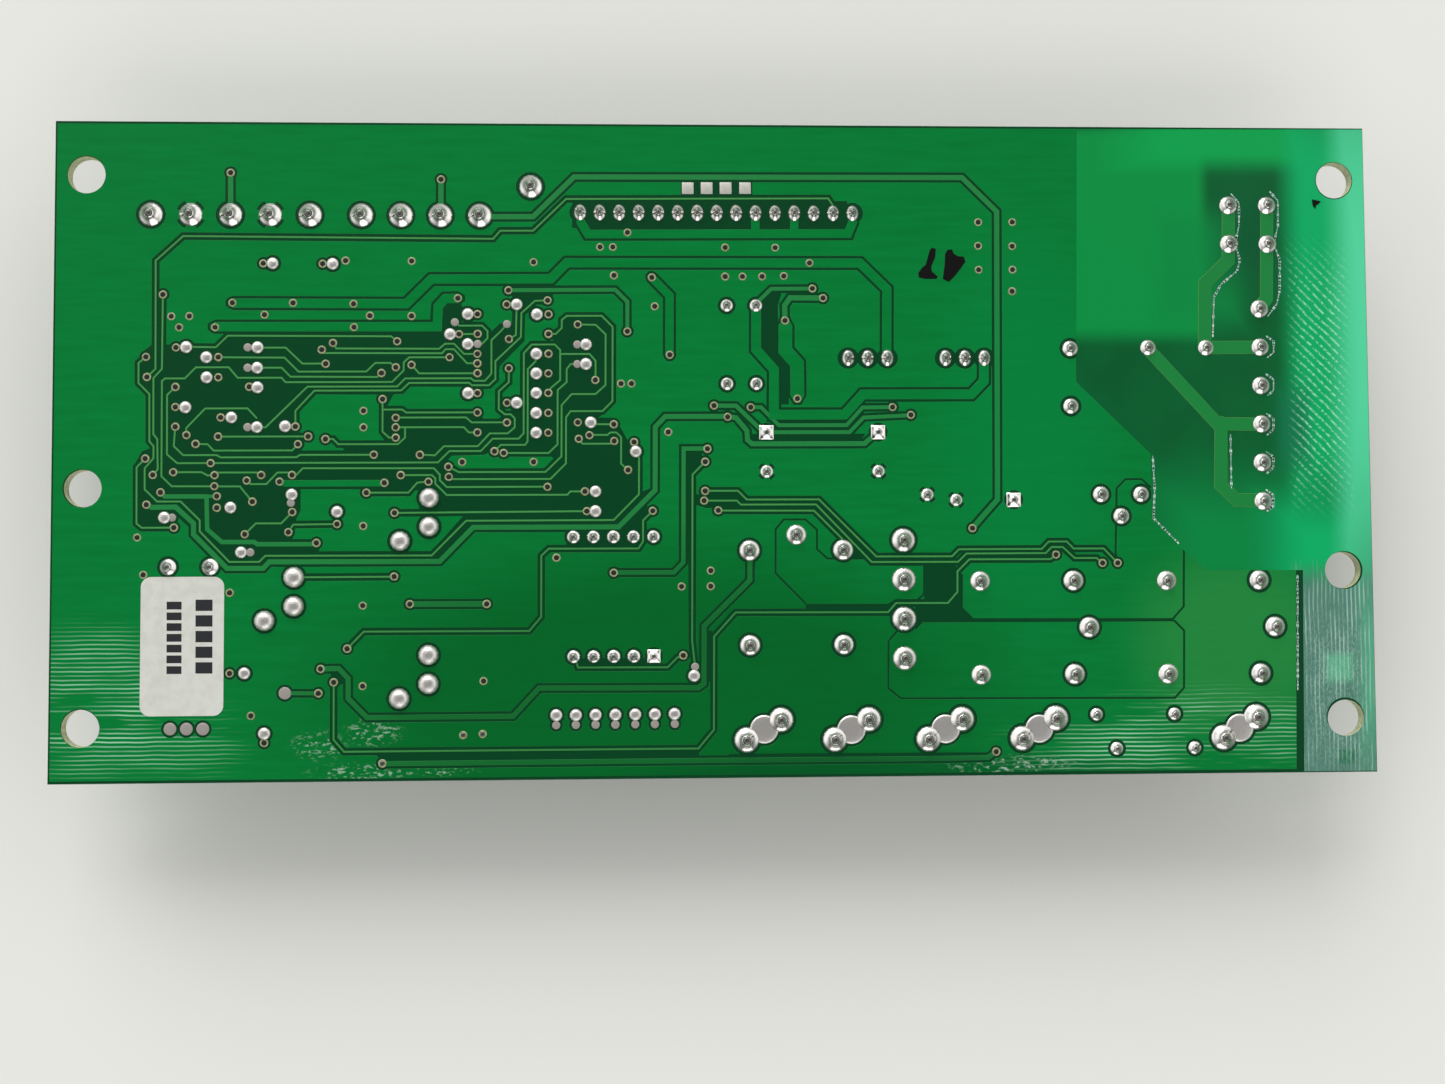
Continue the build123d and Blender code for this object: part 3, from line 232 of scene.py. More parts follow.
# Wider tracks, each with its width
POWER = [
    (5.0, [(478, 217), (532, 217), (573, 177.5), (962, 179), (997, 213), (998.5, 500), (973.4, 528.5)]),
    (5.0, [(228.5, 172.6), (228.5, 205)]),
    (5.0, [(439.5, 179.7), (439.5, 208)]),
    (8.5, [(579.5, 222), (587, 234.5), (848, 234.5), (853, 222)]),
    (8.0, [(755, 220), (755, 234)]),
    (8.0, [(794, 220), (794, 234)]),
    (9.0, [(231, 302.5), (405, 303.5), (430, 279), (550, 279), (566, 263), (860, 264), (887, 290),
           (887, 352)]),
    (9.0, [(213, 326), (436, 326.5), (437, 306), (444, 298.5), (456.7, 298.2)]),
    (8.0, [(651.2, 278), (669, 296), (669, 355)]),
    (3.6, [(507.4, 290.3), (614.5, 290), (626.7, 302), (626.8, 331.6)]),
    (9.5, [(756, 306), (756, 350), (774, 370), (774, 415), (845, 415), (863, 395), (972, 395), (984.5, 382),
           (984.7, 362)]),
    (3.5, [(756, 304), (771, 289.5), (812.3, 289.3)]),
    (5.0, [(823, 298.8), (790, 298.5), (784.5, 306), (785, 323)]),
    (13.5, [(785.3, 326), (785.3, 351), (797, 364), (797.5, 396)]),
    (4.0, [(713.9, 405.8), (736, 406), (759, 428), (764, 432)]),
    (3.5, [(750.7, 407.5), (761, 407.5), (779, 425.5), (847, 425.5), (863, 408), (893, 407.7)]),
    (3.5, [(771, 432.5), (850, 432.5), (864, 418), (911.4, 415.8)]),
    (4.6, [(144.8, 503.3), (150, 506), (174, 505.7), (192, 522), (192, 533), (225.7, 567), (262, 567),
           (268, 560.6), (439, 560.5), (472.5, 526.6), (618.5, 526.5), (655, 490), (655, 427), (665, 416.5),
           (727.6, 416.5), (736, 418), (747, 431), (747.5, 440), (752, 444), (865, 444), (874, 436)]),
    (4.0, [(158.8, 491), (163, 495.2), (205, 495.2), (205.7, 528), (220.5, 540.7), (253, 540.7), (256, 543),
           (310, 543), (315.3, 541.8)]),
    (3.0, [(205, 495.2), (215.3, 495)]),
    (6.0, [(278.3, 481), (284, 482.4), (383.4, 482.3)]),
    (4.0, [(613.7, 572), (674, 572), (683.5, 562), (683.5, 448.6), (707.4, 448.6)]),
    (4.6, [(750.3, 550), (750.3, 580), (704.5, 625.5), (704.5, 683), (699, 687), (539, 687), (513, 715),
           (366.5, 716), (347.5, 697), (347.5, 677), (338, 667), (319.8, 667.4)]),
    (4.6, [(382, 762), (700, 759.5), (940, 758), (990, 757), (997.7, 751.3)]),
    (5.0, [(409.2, 603), (486.3, 603)]),
    (3.4, [(284, 691.5), (317.5, 691.8)]),
]
MAINS_TRACKS = [
    [(1229.5, 208), (1229.5, 262), (1206, 285), (1206, 348)],
    [(1207, 349), (1262, 348.7)],
    [(1268, 208), (1268, 300), (1261, 309.5)],
    [(1148.9, 350), (1219, 425), (1263, 425.5)],
    [(1222.5, 424), (1222.5, 486), (1238, 501), (1262, 501.3)],
]

# Plated holes, and solder-filled test pads with the hole or small pad that each is tied to
VIAS = [
    (228.5, 172.6), (439.5, 179.7), (344, 260.5), (410.3, 261), (532.6, 262.4), (626.7, 233),
    (599.2, 247.5), (612, 247.5), (724.7, 248.2), (774.9, 248.5), (809.3, 263.8), (613.2, 275.8),
    (651.2, 277.9), (724.8, 277.2), (742.2, 277.2), (761.8, 277.2), (783.6, 276.8), (160.8, 293.8),
    (169.3, 315.6), (187.4, 315.4), (177.2, 326.6), (230.5, 302.2), (291.4, 302.5), (352.1, 303.5),
    (262.8, 314.2), (368.5, 315.4), (410.3, 315.8), (213.3, 326.6), (352.6, 326.8), (395.9, 341),
    (331.5, 342.5), (320.3, 349.2), (324.2, 363.2), (394.6, 366.9), (380.2, 372.6), (410.4, 364.5),
    (143.9, 356), (144.9, 376), (173.5, 386), (173.5, 425.7), (184.7, 434), (193.9, 442.8), (216.5, 435.6),
    (306.8, 435.6), (324.2, 438.3), (296.6, 443.3), (381.4, 398.6), (362.3, 410.2), (362.3, 426.7),
    (394.6, 417.2), (394.6, 426.7), (394.6, 437), (372.7, 454), (419, 454.2), (143.4, 457.3), (209, 462),
    (151, 473.7), (171.5, 471), (213, 474), (259.8, 474), (290.7, 474), (245.2, 479.4), (278.2, 480.6),
    (399.8, 474.4), (383.4, 482), (212.8, 485), (158.8, 491), (215.3, 495), (251, 500.5), (365.3, 491.8),
    (291, 511), (144.7, 503.3), (172.3, 526.2), (362.3, 525), (393.6, 512), (243.4, 533), (287.2, 531),
    (315.3, 541.8), (135.5, 536), (141.7, 573.2), (228.5, 591.3), (393.4, 575.4), (362, 604.4),
    (409.2, 603), (486.3, 603), (346.4, 647.3), (319.8, 667.4), (333, 680.8), (362, 684.6), (483.3, 679.8),
    (250, 714), (382, 761.7), (463, 733.6), (482.6, 732.6), (507.4, 290.3), (456.7, 298.2), (546.7, 300.5),
    (577, 324.6), (654.2, 306.7), (784.9, 321.2), (812.3, 289.3), (823, 298.8), (626.8, 331.6),
    (547.7, 334), (476.6, 333.8), (508, 339), (448.5, 357), (476.4, 353.7), (476.4, 363.2), (476.6, 373),
    (508, 368.2), (669.4, 355), (476.6, 412.2), (506.2, 422.2), (476.6, 432), (594.8, 380), (620.6, 383.6),
    (631, 383.6), (713.9, 405.8), (750.7, 407.5), (727.6, 417), (668, 432), (589, 435), (578.3, 438.6),
    (613.9, 440.8), (627.8, 469.7), (493.8, 450.8), (503, 452.5), (461.4, 461.5), (533, 461.5),
    (447.5, 466.2), (448, 476.2), (547, 486.4), (427.6, 481), (652.7, 510.5), (556.2, 557), (613.7, 572.2),
    (707.4, 448.8), (705.2, 461.7), (705.2, 490.8), (704.2, 500.5), (718.4, 510.2), (711, 570.2),
    (711, 585.8), (681.8, 586), (683.6, 654.7), (978.4, 223.6), (978.4, 247.2), (979, 271), (1012.6, 223.6),
    (1012.6, 247.6), (1013, 271), (1012.6, 292.5), (797.5, 399), (893, 407.7), (911.4, 415.5),
    (973.4, 528.5), (1057.3, 555), (1104, 563.4), (1119.2, 563.4), (997.7, 751.3), (317.6, 691.7),
]
PADS_WITH_HOLES = [
    ((270.8, 263), (261.4, 263)), ((331, 263.6), (321, 263.5)), ((184.2, 346.3), (174, 346.6)),
    ((204.5, 356.4), (216.5, 356.4)), ((204.8, 376.5), (216.5, 376.5)), ((255.8, 386.6), (247.6, 386)),
    ((183.5, 406.3), (173.5, 406)), ((229.7, 416.5), (219, 416.5)), ((283.7, 425.4), (294, 425.7)),
    ((466.7, 314), (476.4, 314)), ((449, 334), (458, 334)), ((515.7, 304.5), (505.7, 304.5)),
    ((536, 314.4), (547.7, 314.4)), ((535.5, 353.7), (547.7, 353.7)), ((535.5, 373.3), (547.7, 373.3)),
    ((535.5, 392.8), (547.7, 392.8)), ((535.5, 412.7), (547.7, 412.7)), ((535.5, 432.4), (547.7, 432.4)),
    ((467.2, 392.8), (476.6, 392.8)), ((590.3, 422.2), (577.3, 422.2)), ((590.3, 422.2), (613.4, 424.2)),
    ((635.5, 451.3), (633.8, 442)), ((595.2, 491), (584.6, 491)), ((595.2, 510.7), (586.5, 510.7)),
    ((229, 506.3), (215.3, 506.5)), ((335.9, 510.7), (335.9, 523)), ((243.2, 671.6), (228.5, 671.6)),
    ((263.3, 731.8), (263.3, 741)), ((515.9, 402.5), (506.2, 402.5)),
]
PADS_WITH_SMALL_PADS = [
    ((255.8, 346.7), (246, 346.7)), ((255.5, 367), (246, 367)), ((255.3, 426.2), (246, 426.2)),
    ((466.7, 343.8), (476.6, 343.8)), ((585.3, 344.5), (576.6, 344.5)), ((585.3, 364), (576.6, 364)),
    ((290.4, 493.5), (289.6, 501.8)), ((162.6, 516.2), (170.5, 516.2)), ((239.7, 551), (249, 551)),
    ((694.5, 675), (695.5, 666)), ((556.3, 714), (556.3, 724)), ((576, 714), (576, 723.7)),
    ((595.8, 713.8), (595.8, 723.5)), ((615.7, 713.7), (615.7, 723.5)), ((635.6, 713.5), (635.6, 723.3)),
    ((655.3, 713.3), (655.3, 723.2)), ((675, 713), (675.3, 723)),
]
SMALL_PADS = [(453.7, 322), (506, 324)]
FILLED_VIAS = [(382, 761.7), (463, 733.6), (482.6, 732.6)]
FLAT_PADS = [(168.8, 727), (185.3, 727), (201.8, 727), (284, 691.5)]
SQUARE_PADS = [(687, 189), (706, 189), (725, 189), (744.5, 189)]
SQUARE_PAD_SIDE = 12.0

# Mounting holes, and the spade tabs' joints: two leg joints on each and a low pad between them
MOUNTING_HOLES = [(84, 174), (80, 487), (78.5, 726), (1335, 183), (1346, 571), (1348, 717)]
TAB_LEGS = [
    (747.5, 739), (782, 719), (836, 738.7), (870, 718.7), (930, 738.5), (963.5, 718.6), (1024, 738),
    (1057.5, 718), (1226, 737.5), (1258.5, 717),
]
TAB_MIDDLES = [(765, 728.5), (852.5, 729), (947, 728.5), (1041, 728.5), (1242, 728)]
TAB_LEG_RADIUS = 13.0
TAB_MIDDLE_RADIUS = 14.4
SQUARE_JOINT = (653.3, 654.5)

# Rows of print on the label (place across it, start, end, bars, half thickness), and blots of marker ink
PRINT_ROWS = [(203, 598, 676, 5, 8.5), (173, 600, 675, 7, 7.5)]
BAR_SHARE = 0.72
PRINT_RISE = 0.01 * MM
INK_RISE = 1.6 * COPPER_RISE
INK_BLOTS = [
    [(932, 249), (936, 250), (935.5, 258), (931.5, 267.5), (932, 272.5), (938.2, 277.8), (936.5, 280),
     (925.5, 280), (919, 278.5), (918.5, 274), (922.5, 268.5), (926, 266), (928, 258), (930, 251)],
    [(945.3, 255), (948, 251), (952.3, 250.6), (954, 255), (958.5, 257.5), (964, 257.8), (965.7, 263),
     (960, 271), (954, 278.5), (949, 283), (943, 280), (943.7, 275.5), (944.8, 267.5), (945.2, 260)],
    [(1313, 201.5), (1322, 203.5), (1320, 206), (1317.5, 207.5), (1316.5, 211), (1314, 208)],
]

# Painted light and shade on the mask (centre, reach, colour, amount, softness): boxes on clear laminate,
# ovals on the pour
CLEAR_LIGHT_AND_SHADE = [
    ((1130, 234), (85, 118), "#018D40", 1.0, 0.2),
    ((1200, 270), (60, 78), "#01863F", 0.8, 0.6),
    ((1225, 142), (150, 40), "#029F4B", 0.95, 0.7),
    ((1252, 236), (56, 84), "#01552F", 0.9, 1.0),
    ((1225, 545), (125, 112), "#018A42", 0.85, 0.95),
    ((1345, 310), (72, 260), "#02A962", 0.95, 0.5),
    ((1296, 430), (26, 62), "#0E7049", 0.8, 0.8),
    ((1322, 548), (82, 72), "#02AE66", 0.95, 0.95),
    ((1368, 330), (46, 430), "#58D6A2", 0.9, 0.9),
    ((1340, 680), (48, 122), "#527F70", 0.95, 0.3),
    ((1378, 670), (24, 130), "#4FA57F", 0.9, 0.9),
    ((1342, 668), (19, 19), "#5FB68B", 0.7, 0.6),
    ((1350, 757), (12, 9), "#1E6B4C", 0.8, 0.5),
]
WEAVE_SHINE = ((1338, 690), (46, 110))
POUR_LIGHT_AND_SHADE = [
    ((650, 700), (460, 210), "#015A1F", 0.72, 0.6),
    ((900, 772), (330, 26), "#014A20", 0.6, 0.6),
    ((1235, 640), (130, 120), "#2C8A40", 0.6, 0.6),
    ((1030, 420), (120, 260), "#028440", 0.5, 0.7),
]
POUR_SHINE = [
    ((88, 700), (95, 92), 0.95), ((1210, 735), (175, 58), 0.9), ((175, 735), (90, 55), 0.5),
    ((1080, 752), (110, 40), 0.6),
]
FLUX_CRUSTS = [
    ((374, 730), (34, 18)), ((318, 744), (32, 18)), ((362, 770), (62, 11)), ((440, 768), (46, 8)),
    ((1010, 764), (85, 12)),
]
# Painted glints on the fine ripples and dashes of the weave: where they show (centre, reach), and their pitch
STRIP_RIPPLE_GLINTS = ((1338, 672), (44, 118))
WEAVE_DASH_GLINTS = ((1322, 378), (36, 150))
RIPPLE_PITCH = 0.56 * MM
DASH_PITCH = 0.62 * MM
# Lines of dried flux, in short pieces of uneven width; the last line is a painted highlight on a copper edge
FLUX_AND_GLINT_LINES = [
    [(1232, 196), (1240, 205), (1240, 228), (1236, 245), (1241, 262), (1238, 273), (1222, 286), (1215, 299),
     (1214, 338)],
    [(1271, 194), (1279, 203), (1279, 228), (1275, 246), (1281, 262), (1281, 292), (1278, 306),
     (1269, 318)],
    [(1232, 436), (1233, 489)],
    [(1268, 338), (1275, 343), (1275, 354), (1269, 359)],
    [(1268, 376), (1275, 381), (1275, 392), (1269, 397)],
    [(1268, 415), (1275, 420), (1275, 431), (1269, 436)],
    [(1268, 453), (1275, 458), (1275, 469), (1269, 474)],
    [(1268, 491), (1275, 496), (1275, 507), (1269, 512)],
    [(1154, 457), (1156, 490), (1155, 519), (1180, 544)],
    # A painted highlight where light catches the mask's slope on the copper edge by the right border, not
    # flux
    [(1299.5, 577), (1300, 690)],
]
FLUX_AND_GLINT_WIDTH = 1.9
FLUX_AND_GLINT_STEP = 3.0
FLUX_AND_GLINT_SPREAD = (0.35, 1.3)
FLUX_AND_GLINT_RISE = 1.3 * COPPER_RISE

# Joints whose ring is broken by four spokes, and joints that lie in the pour with no ring round them
SPOKED_JOINTS = [(188.6, 212), (268, 213), (766.7, 471), (878.8, 471), (928, 495), (956.5, 500.5)]
TIED_JOINTS = [
    (981.5, 580.5), (982, 673.5), (1168.5, 673.5), (1168, 580.5), (905, 578.5), (906, 657.5),
    (796.7, 534.5),
]


# Photograph and board: a pixel of the photograph stands for one place on the solder face

def plane_map(sources, targets):
    """Matrix that takes four source points to four target points in perspective."""
    rows = []
    for (u, v), (x, y) in zip(sources, targets):
        rows.append([u, v, 1, 0, 0, 0, -x * u, -x * v, -x])
        rows.append([0, 0, 0, u, v, 1, -y * u, -y * v, -y])
    return np.linalg.svd(np.array(rows))[2][-1].reshape(3, 3)


corner_pixels = [FAR_LEFT_PIXEL, FAR_RIGHT_PIXEL, NEAR_RIGHT_PIXEL, NEAR_LEFT_PIXEL]
corner_places = [
    (board_low.x, board_high.y),
    (board_high.x, board_high.y),
    (board_high.x, board_low.y),
    (board_low.x, board_low.y),
]
pixel_to_place = plane_map(corner_pixels, corner_places)
place_to_pixel = plane_map(corner_places, corner_pixels)


def place(pixel):
    """Place on the solder face that a pixel of the photograph shows."""
    u, v, w = pixel_to_place @ np.array([pixel[0], pixel[1], 1.0])
    return Vector((u / w, v / w))


def places(pixels):
    """Places on the solder face that some pixels show."""
    return [place(pixel) for pixel in pixels]


def add_object(name, data):
    """Object of the scene that holds a mesh, a lamp or the camera."""
    item = bpy.data.objects.new(name, data)
    bpy.context.scene.collection.objects.link(item)
    return item


def set_camera():
    """Camera that sees the corners of the board where the photograph has them."""
    focal = np.array([
        [LENS_PIXELS, 0, PHOTO_WIDTH / 2],
        [0, LENS_PIXELS, PHOTO_HEIGHT / 2],
        [0, 0, 1],
    ])
    columns = np.linalg.inv(focal) @ place_to_pixel
    columns /= (np.linalg.norm(columns[:, 0]) + np.linalg.norm(columns[:, 1])) / 2
    if columns[2, 2] < 0:
        columns = -columns
    turn = np.column_stack([columns[:, 0], columns[:, 1], np.cross(columns[:, 0], columns[:, 1])])
    left, _, right = np.linalg.svd(turn)
    turn = left @ right
    eye = -turn.T @ columns[:, 2]
    axes = Matrix((turn[0], -turn[1], -turn[2])).transposed()
    lens = bpy.data.cameras.new("camera")
    lens.sensor_fit = "HORIZONTAL"
    lens.sensor_width = SENSOR_WIDTH
    lens.lens = SENSOR_WIDTH * LENS_PIXELS / PHOTO_WIDTH
    lens.clip_start = NEAREST_SEEN
    camera = add_object("camera", lens)
    camera.matrix_world = Matrix.Translation((eye[0], eye[1], eye[2] + top)) @ axes.to_4x4()
    bpy.context.scene.camera = camera


set_camera()


# Materials

# Wave Texture repeats every 2 pi / 20 units at a scale of one
WAVE_LENGTH = 2 * math.pi / 20
# Ripples wander a little; only their crests catch the light
RIPPLE_WANDER = {"Distortion": 2.2, "Detail": 2.0, "Detail Scale": 0.3}
CREST_START = 0.62
CREST_FULL = 0.95
PATCH_DETAIL = 3.0
BUMP_DETAIL = 2.0
# Range of the noise over which an even mottle goes from one colour to the other
MOTTLE_LOW = 0.35
MOTTLE_HIGH = 0.65
# Share of the pour's painted light and shade that shows on a signal track
SIGNAL_SHARE = 0.5


def linear(code):
    """Linear colour of an sRGB hex value."""
    parts = [int(code[n:n + 2], 16) / 255 for n in (1, 3, 5)]
    return tuple(c / 12.92 if c <= 0.04045 else ((c + 0.055) / 1.055) ** 2.4 for c in parts) + (1.0,)


def add_node(tree, kind, inputs=None, **settings):
    """Node with its settings, and its inputs set to a value or linked to a socket."""
    node = tree.nodes.new(kind)
    for name, value in settings.items():
        setattr(node, name, value)
    for key, value in (inputs or {}).items():
        if isinstance(value, bpy.types.NodeSocket):
            tree.links.new(value, node.inputs[key])
        else:
            node.inputs[key].default_value = value
    return node


def new_finish(name, colour, roughness, metallic=0.0, specular=0.5):
    """Material with one plain shader, which the caller may add a pattern to."""
    material = bpy.data.materials.new(name)
    material.use_nodes = True
    shader = material.node_tree.nodes["Principled BSDF"]
    shader.inputs["Base Color"].default_value = linear(colour)
    shader.inputs["Roughness"].default_value = roughness
    shader.inputs["Metallic"].default_value = metallic
    shader.inputs["Specular IOR Level"].default_value = specular
    return material


def mottle(material, other, grain, low, high, stretch=(1, 1, 1)):
    """Mix a second colour into a finish in soft patches of a given grain, in metres."""
    tree = material.node_tree
    shader = tree.nodes["Principled BSDF"]
    base = tuple(shader.inputs["Base Color"].default_value)
    where = add_node(tree, "ShaderNodeTexCoord")
    turned = add_node(tree, "ShaderNodeMapping", {"Vector": where.outputs["Object"], "Scale": stretch})
    grains = add_node(
        tree, "ShaderNodeTexNoise", {"Vector": turned.outputs[0], "Scale": 1 / grain, "Detail": PATCH_DETAIL},
    )
    share = add_node(
        tree, "ShaderNodeMapRange", {"Value": grains.outputs["Fac"], "From Min": low, "From Max": high},
    )
    mixed = add_node(
        tree, "ShaderNodeMix", {"Factor": share.outputs[0], 6: base, 7: linear(other)}, data_type="RGBA",
    )
    tree.links.new(mixed.outputs[2], shader.inputs["Base Color"])
    return material


def cloud(material, centre, reach, colour, amount, soft, boxed=False, grain=None, stretch=(1, 1, 1),
          low=None, high=None, pitch=None, bands="Y"):
    """Mix a colour into a finish in a soft oval or box about a pixel, whole, in streaks or in ripples."""
    tree = material.node_tree
    base = tree.nodes["Principled BSDF"].inputs["Base Color"]
    spot = place(centre)
    wide, tall = reach[0] * PIXEL, reach[1] * PIXEL
    where = add_node(tree, "ShaderNodeTexCoord").outputs["Object"]
    local = add_node(
        tree, "ShaderNodeMapping",
        {"Vector": where, "Location": (-spot.x / wide, -spot.y / tall, 0), "Scale": (1 / wide, 1 / tall, 0)},
    ).outputs[0]
    if boxed:
        sides = add_node(tree, "ShaderNodeVectorMath", {0: local}, operation="ABSOLUTE")
        sides = add_node(tree, "ShaderNodeSeparateXYZ", {0: sides.outputs[0]})
        far = add_node(
            tree, "ShaderNodeMath", {0: sides.outputs["X"], 1: sides.outputs["Y"]}, operation="MAXIMUM",
        )
        limits = {"Value": far.outputs[0], "From Min": 1.0, "From Max": 1.0 - soft}
    else:
        oval = add_node(tree, "ShaderNodeTexGradient", {"Vector": local}, gradient_type="SPHERICAL")
        limits = {"Value": oval.outputs["Fac"], "From Min": 0.0, "From Max": soft}
    share = add_node(
        tree, "ShaderNodeMapRange", {**limits, "To Max": amount}, interpolation_type="SMOOTHSTEP",
    )
    patterns = []
    if grain:
        turned = add_node(tree, "ShaderNodeMapping", {"Vector": where, "Scale": stretch})
        streaks = add_node(
            tree, "ShaderNodeTexNoise",
            {"Vector": turned.outputs[0], "Scale": 1 / grain, "Detail": PATCH_DETAIL},
        )
        patterns.append((streaks, low, high))
    if pitch:
        ripples = add_node(
            tree, "ShaderNodeTexWave", {"Vector": where, "Scale": WAVE_LENGTH / pitch, **RIPPLE_WANDER},
            bands_direction=bands,
        )
        patterns.append((ripples, CREST_START, CREST_FULL))
    for pattern, start, full in patterns:
        crests = add_node(
            tree, "ShaderNodeMapRange",
            {"Value": pattern.outputs["Fac"], "From Min": start, "From Max": full},
        )
        share = add_node(
            tree, "ShaderNodeMath", {0: share.outputs[0], 1: crests.outputs[0]}, operation="MULTIPLY",
        )
    under = base.links[0].from_socket if base.is_linked else tuple(base.default_value)
    mixed = add_node(
        tree, "ShaderNodeMix", {"Factor": share.outputs[0], 6: under, 7: linear(colour)}, data_type="RGBA",
    )
    tree.links.new(mixed.outputs[2], base)


def grainy(material, grain, strength, depth, stretch=(1, 1, 1)):
    """Fine bumps of a given grain and depth, in metres."""
    tree = material.node_tree
    where = add_node(tree, "ShaderNodeTexCoord")
    turned = add_node(tree, "ShaderNodeMapping", {"Vector": where.outputs["Object"], "Scale": stretch})
    grains = add_node(
        tree, "ShaderNodeTexNoise", {"Vector": turned.outputs[0], "Scale": 1 / grain, "Detail": BUMP_DETAIL},
    )
    bump = add_node(
        tree, "ShaderNodeBump", {"Height": grains.outputs["Fac"], "Strength": strength, "Distance": depth},
    )
    tree.links.new(bump.outputs[0], tree.nodes["Principled BSDF"].inputs["Normal"])
    return material


# Solder mask is a thin gloss lacquer: bright over copper, deep over bare laminate
mask_on_laminate = new_finish("solder mask on laminate", "#01401F", 0.24)
mask_on_pour = mottle(
    new_finish("solder mask on copper", "#047C38", 0.18), "#027430", 0.9 * MM, 0.3, 0.75, (0.12, 1, 1),
)
grainy(mask_on_pour, 1.0 * MM, 0.5, 0.03 * MM, (0.1, 1, 1))
# The mask is thin on a narrow track and on copper edges, so these look paler
mask_on_signal = new_finish("solder mask on signal tracks", "#459049", 0.3)
mask_on_edge = new_finish("thin mask on copper edges", "#1F7A3C", 0.3)
# The wide mains tracks lie on bare laminate, and copper glints yellow through the mask at their edges
mask_on_mains = new_finish("solder mask on mains tracks", "#167F3A", 0.3)
mask_on_mains_edge = new_finish("thin mask on mains copper edges", "#7E9F50", 0.35)
# A narrow supply track is paler than the pour, but less so than a signal track
mask_on_supply = new_finish("solder mask on supply tracks", "#1F7E3D", 0.28)
# With no copper behind it, the laminate lets light through: painted light where no part sits behind, painted
# shadows of the parts behind it, and a painted sheen along its right edge
clear_mask = mottle(
    new_finish("solder mask on clear laminate", "#015F2E", 0.26), "#01572A", 8 * MM, MOTTLE_LOW, MOTTLE_HIGH,
)
for centre, reach, colour, amount, soft in CLEAR_LIGHT_AND_SHADE:
    cloud(clear_mask, centre, reach, colour, amount, soft, boxed=True)
# Painted highlights where light glints off the pattern of the glass weave under it, in pale streaks, ripples
# and slanting dashes
cloud(
    clear_mask, *WEAVE_SHINE, "#A4C9B9", 0.35, 0.7, boxed=True,
    grain=0.2 * MM, stretch=(1.9, 0.5, 1), low=0.5, high=0.62,
)
cloud(
    clear_mask, *STRIP_RIPPLE_GLINTS, "#BFE0D0", 0.55, 0.3, boxed=True,
    grain=0.8 * MM, stretch=(0.6, 0.2, 1), low=0.38, high=0.66, pitch=RIPPLE_PITCH, bands="X",
)
cloud(
    clear_mask, *WEAVE_DASH_GLINTS, "#9BE8C4", 0.75, 0.6, boxed=True,
    grain=0.45 * MM, low=0.4, high=0.6, pitch=DASH_PITCH, bands="DIAGONAL",
)
# Painted shade and light on the pour, which is deeper where the room is dimmer; painted highlights where low
# light picks out the weave under it near the corners
for centre, reach, colour, amount, soft in POUR_LIGHT_AND_SHADE:
    cloud(mask_on_pour, centre, reach, colour, amount, soft)
    cloud(mask_on_supply, centre, reach, colour, amount, soft)
    cloud(mask_on_signal, centre, reach, colour, SIGNAL_SHARE * amount, soft)
for centre, reach, amount in POUR_SHINE:
    cloud(
        mask_on_pour, centre, reach, "#9FD3B0", amount, 0.6,
        grain=1.1 * MM, stretch=(0.07, 0.5, 1), low=0.4, high=0.66, pitch=RIPPLE_PITCH,
    )
# Flux dries to a pale, matt film with whiter flecks, in crusts on the pour and in lines; its lines also carry
# one painted highlight on a copper edge
for centre, reach in FLUX_CRUSTS:
    cloud(
        mask_on_pour, centre, reach, "#B9D6C4", 0.55, 0.6,
        grain=0.34 * MM, stretch=(0.55, 1, 1), low=0.54, high=0.68,
    )
flux_residue = mottle(new_finish("dried flux and painted edge glint", "#86B9A6", 0.6), "#C4DCD0", 0.5 * MM, 0.4, 0.6)
# Solder is bright and a little rough, with a dull tip of the pin inside it
solder_metal = grainy(new_finish("tin-lead solder", "#DAD7D2", 0.18, 1.0), 0.5 * MM, 0.22, 0.05 * MM)
pin_metal = new_finish("dull pin end", "#6F6F69", 0.38, 0.9)
# Solder that cooled slowly is frosted, and bare tinned pads are flat and duller
matt_solder = grainy(new_finish("frosted solder", "#DDD9D4", 0.4, 0.85), 0.35 * MM, 0.5, 0.06 * MM)
matt_tin = new_finish("matt tinned pad", "#C6C4BA", 0.5, 0.4)
dull_tin = new_finish("dull tinned pad", "#9F9892", 0.55, 0.3)
# A plated hole is a thin straw-grey ring round a bore that light doesn't reach into
tinned_ring = mottle(new_finish("tinned via ring", "#A6A983", 0.45, 0.2), "#888B64", 0.4 * MM, 0.4, 0.6)
hole_shadow = new_finish("via bore in shadow", "#07100A", 0.8)
# Label paper is matt and slightly uneven
label_paper = mottle(new_finish("label paper", "#D0D1C8", 0.8), "#C6C7BD", 1.2 * MM, 0.4, 0.7)
# Glass-epoxy shows its straw colour where it is drilled; the outer edge is given a dark colour and a rough
# finish
laminate_core = mottle(
    new_finish("drilled glass-epoxy", "#C3C9A4", 0.7), "#A8AE88", 0.5 * MM, MOTTLE_LOW, MOTTLE_HIGH,
)
cut_edge = mottle(new_finish("sawn board edge", "#1C4A2B", 0.8), "#0E2C19", 0.6 * MM, MOTTLE_LOW, MOTTLE_HIGH)
# The component side has a plain sheet of copper under its mask, and white screened outlines
component_mask = mottle(
    new_finish("solder mask on component side", "#046B31", 0.22), "#035826", 5 * MM, MOTTLE_LOW, MOTTLE_HIGH,
)
screen_ink = new_finish("white screen print", "#D9DBD4", 0.7)
# Label print is a soft black, and marker ink a flat one with hardly any shine
print_ink = new_finish("black print", "#15161A", 0.6)
marker_ink = new_finish("marker ink", "#050605", 0.8, specular=0.15)


# Meshes

# Distance at which corners are joined, and the angle up to which faces count as one flat face
MERGE_DISTANCE = 1e-6
FLAT_ANGLE = 0.01
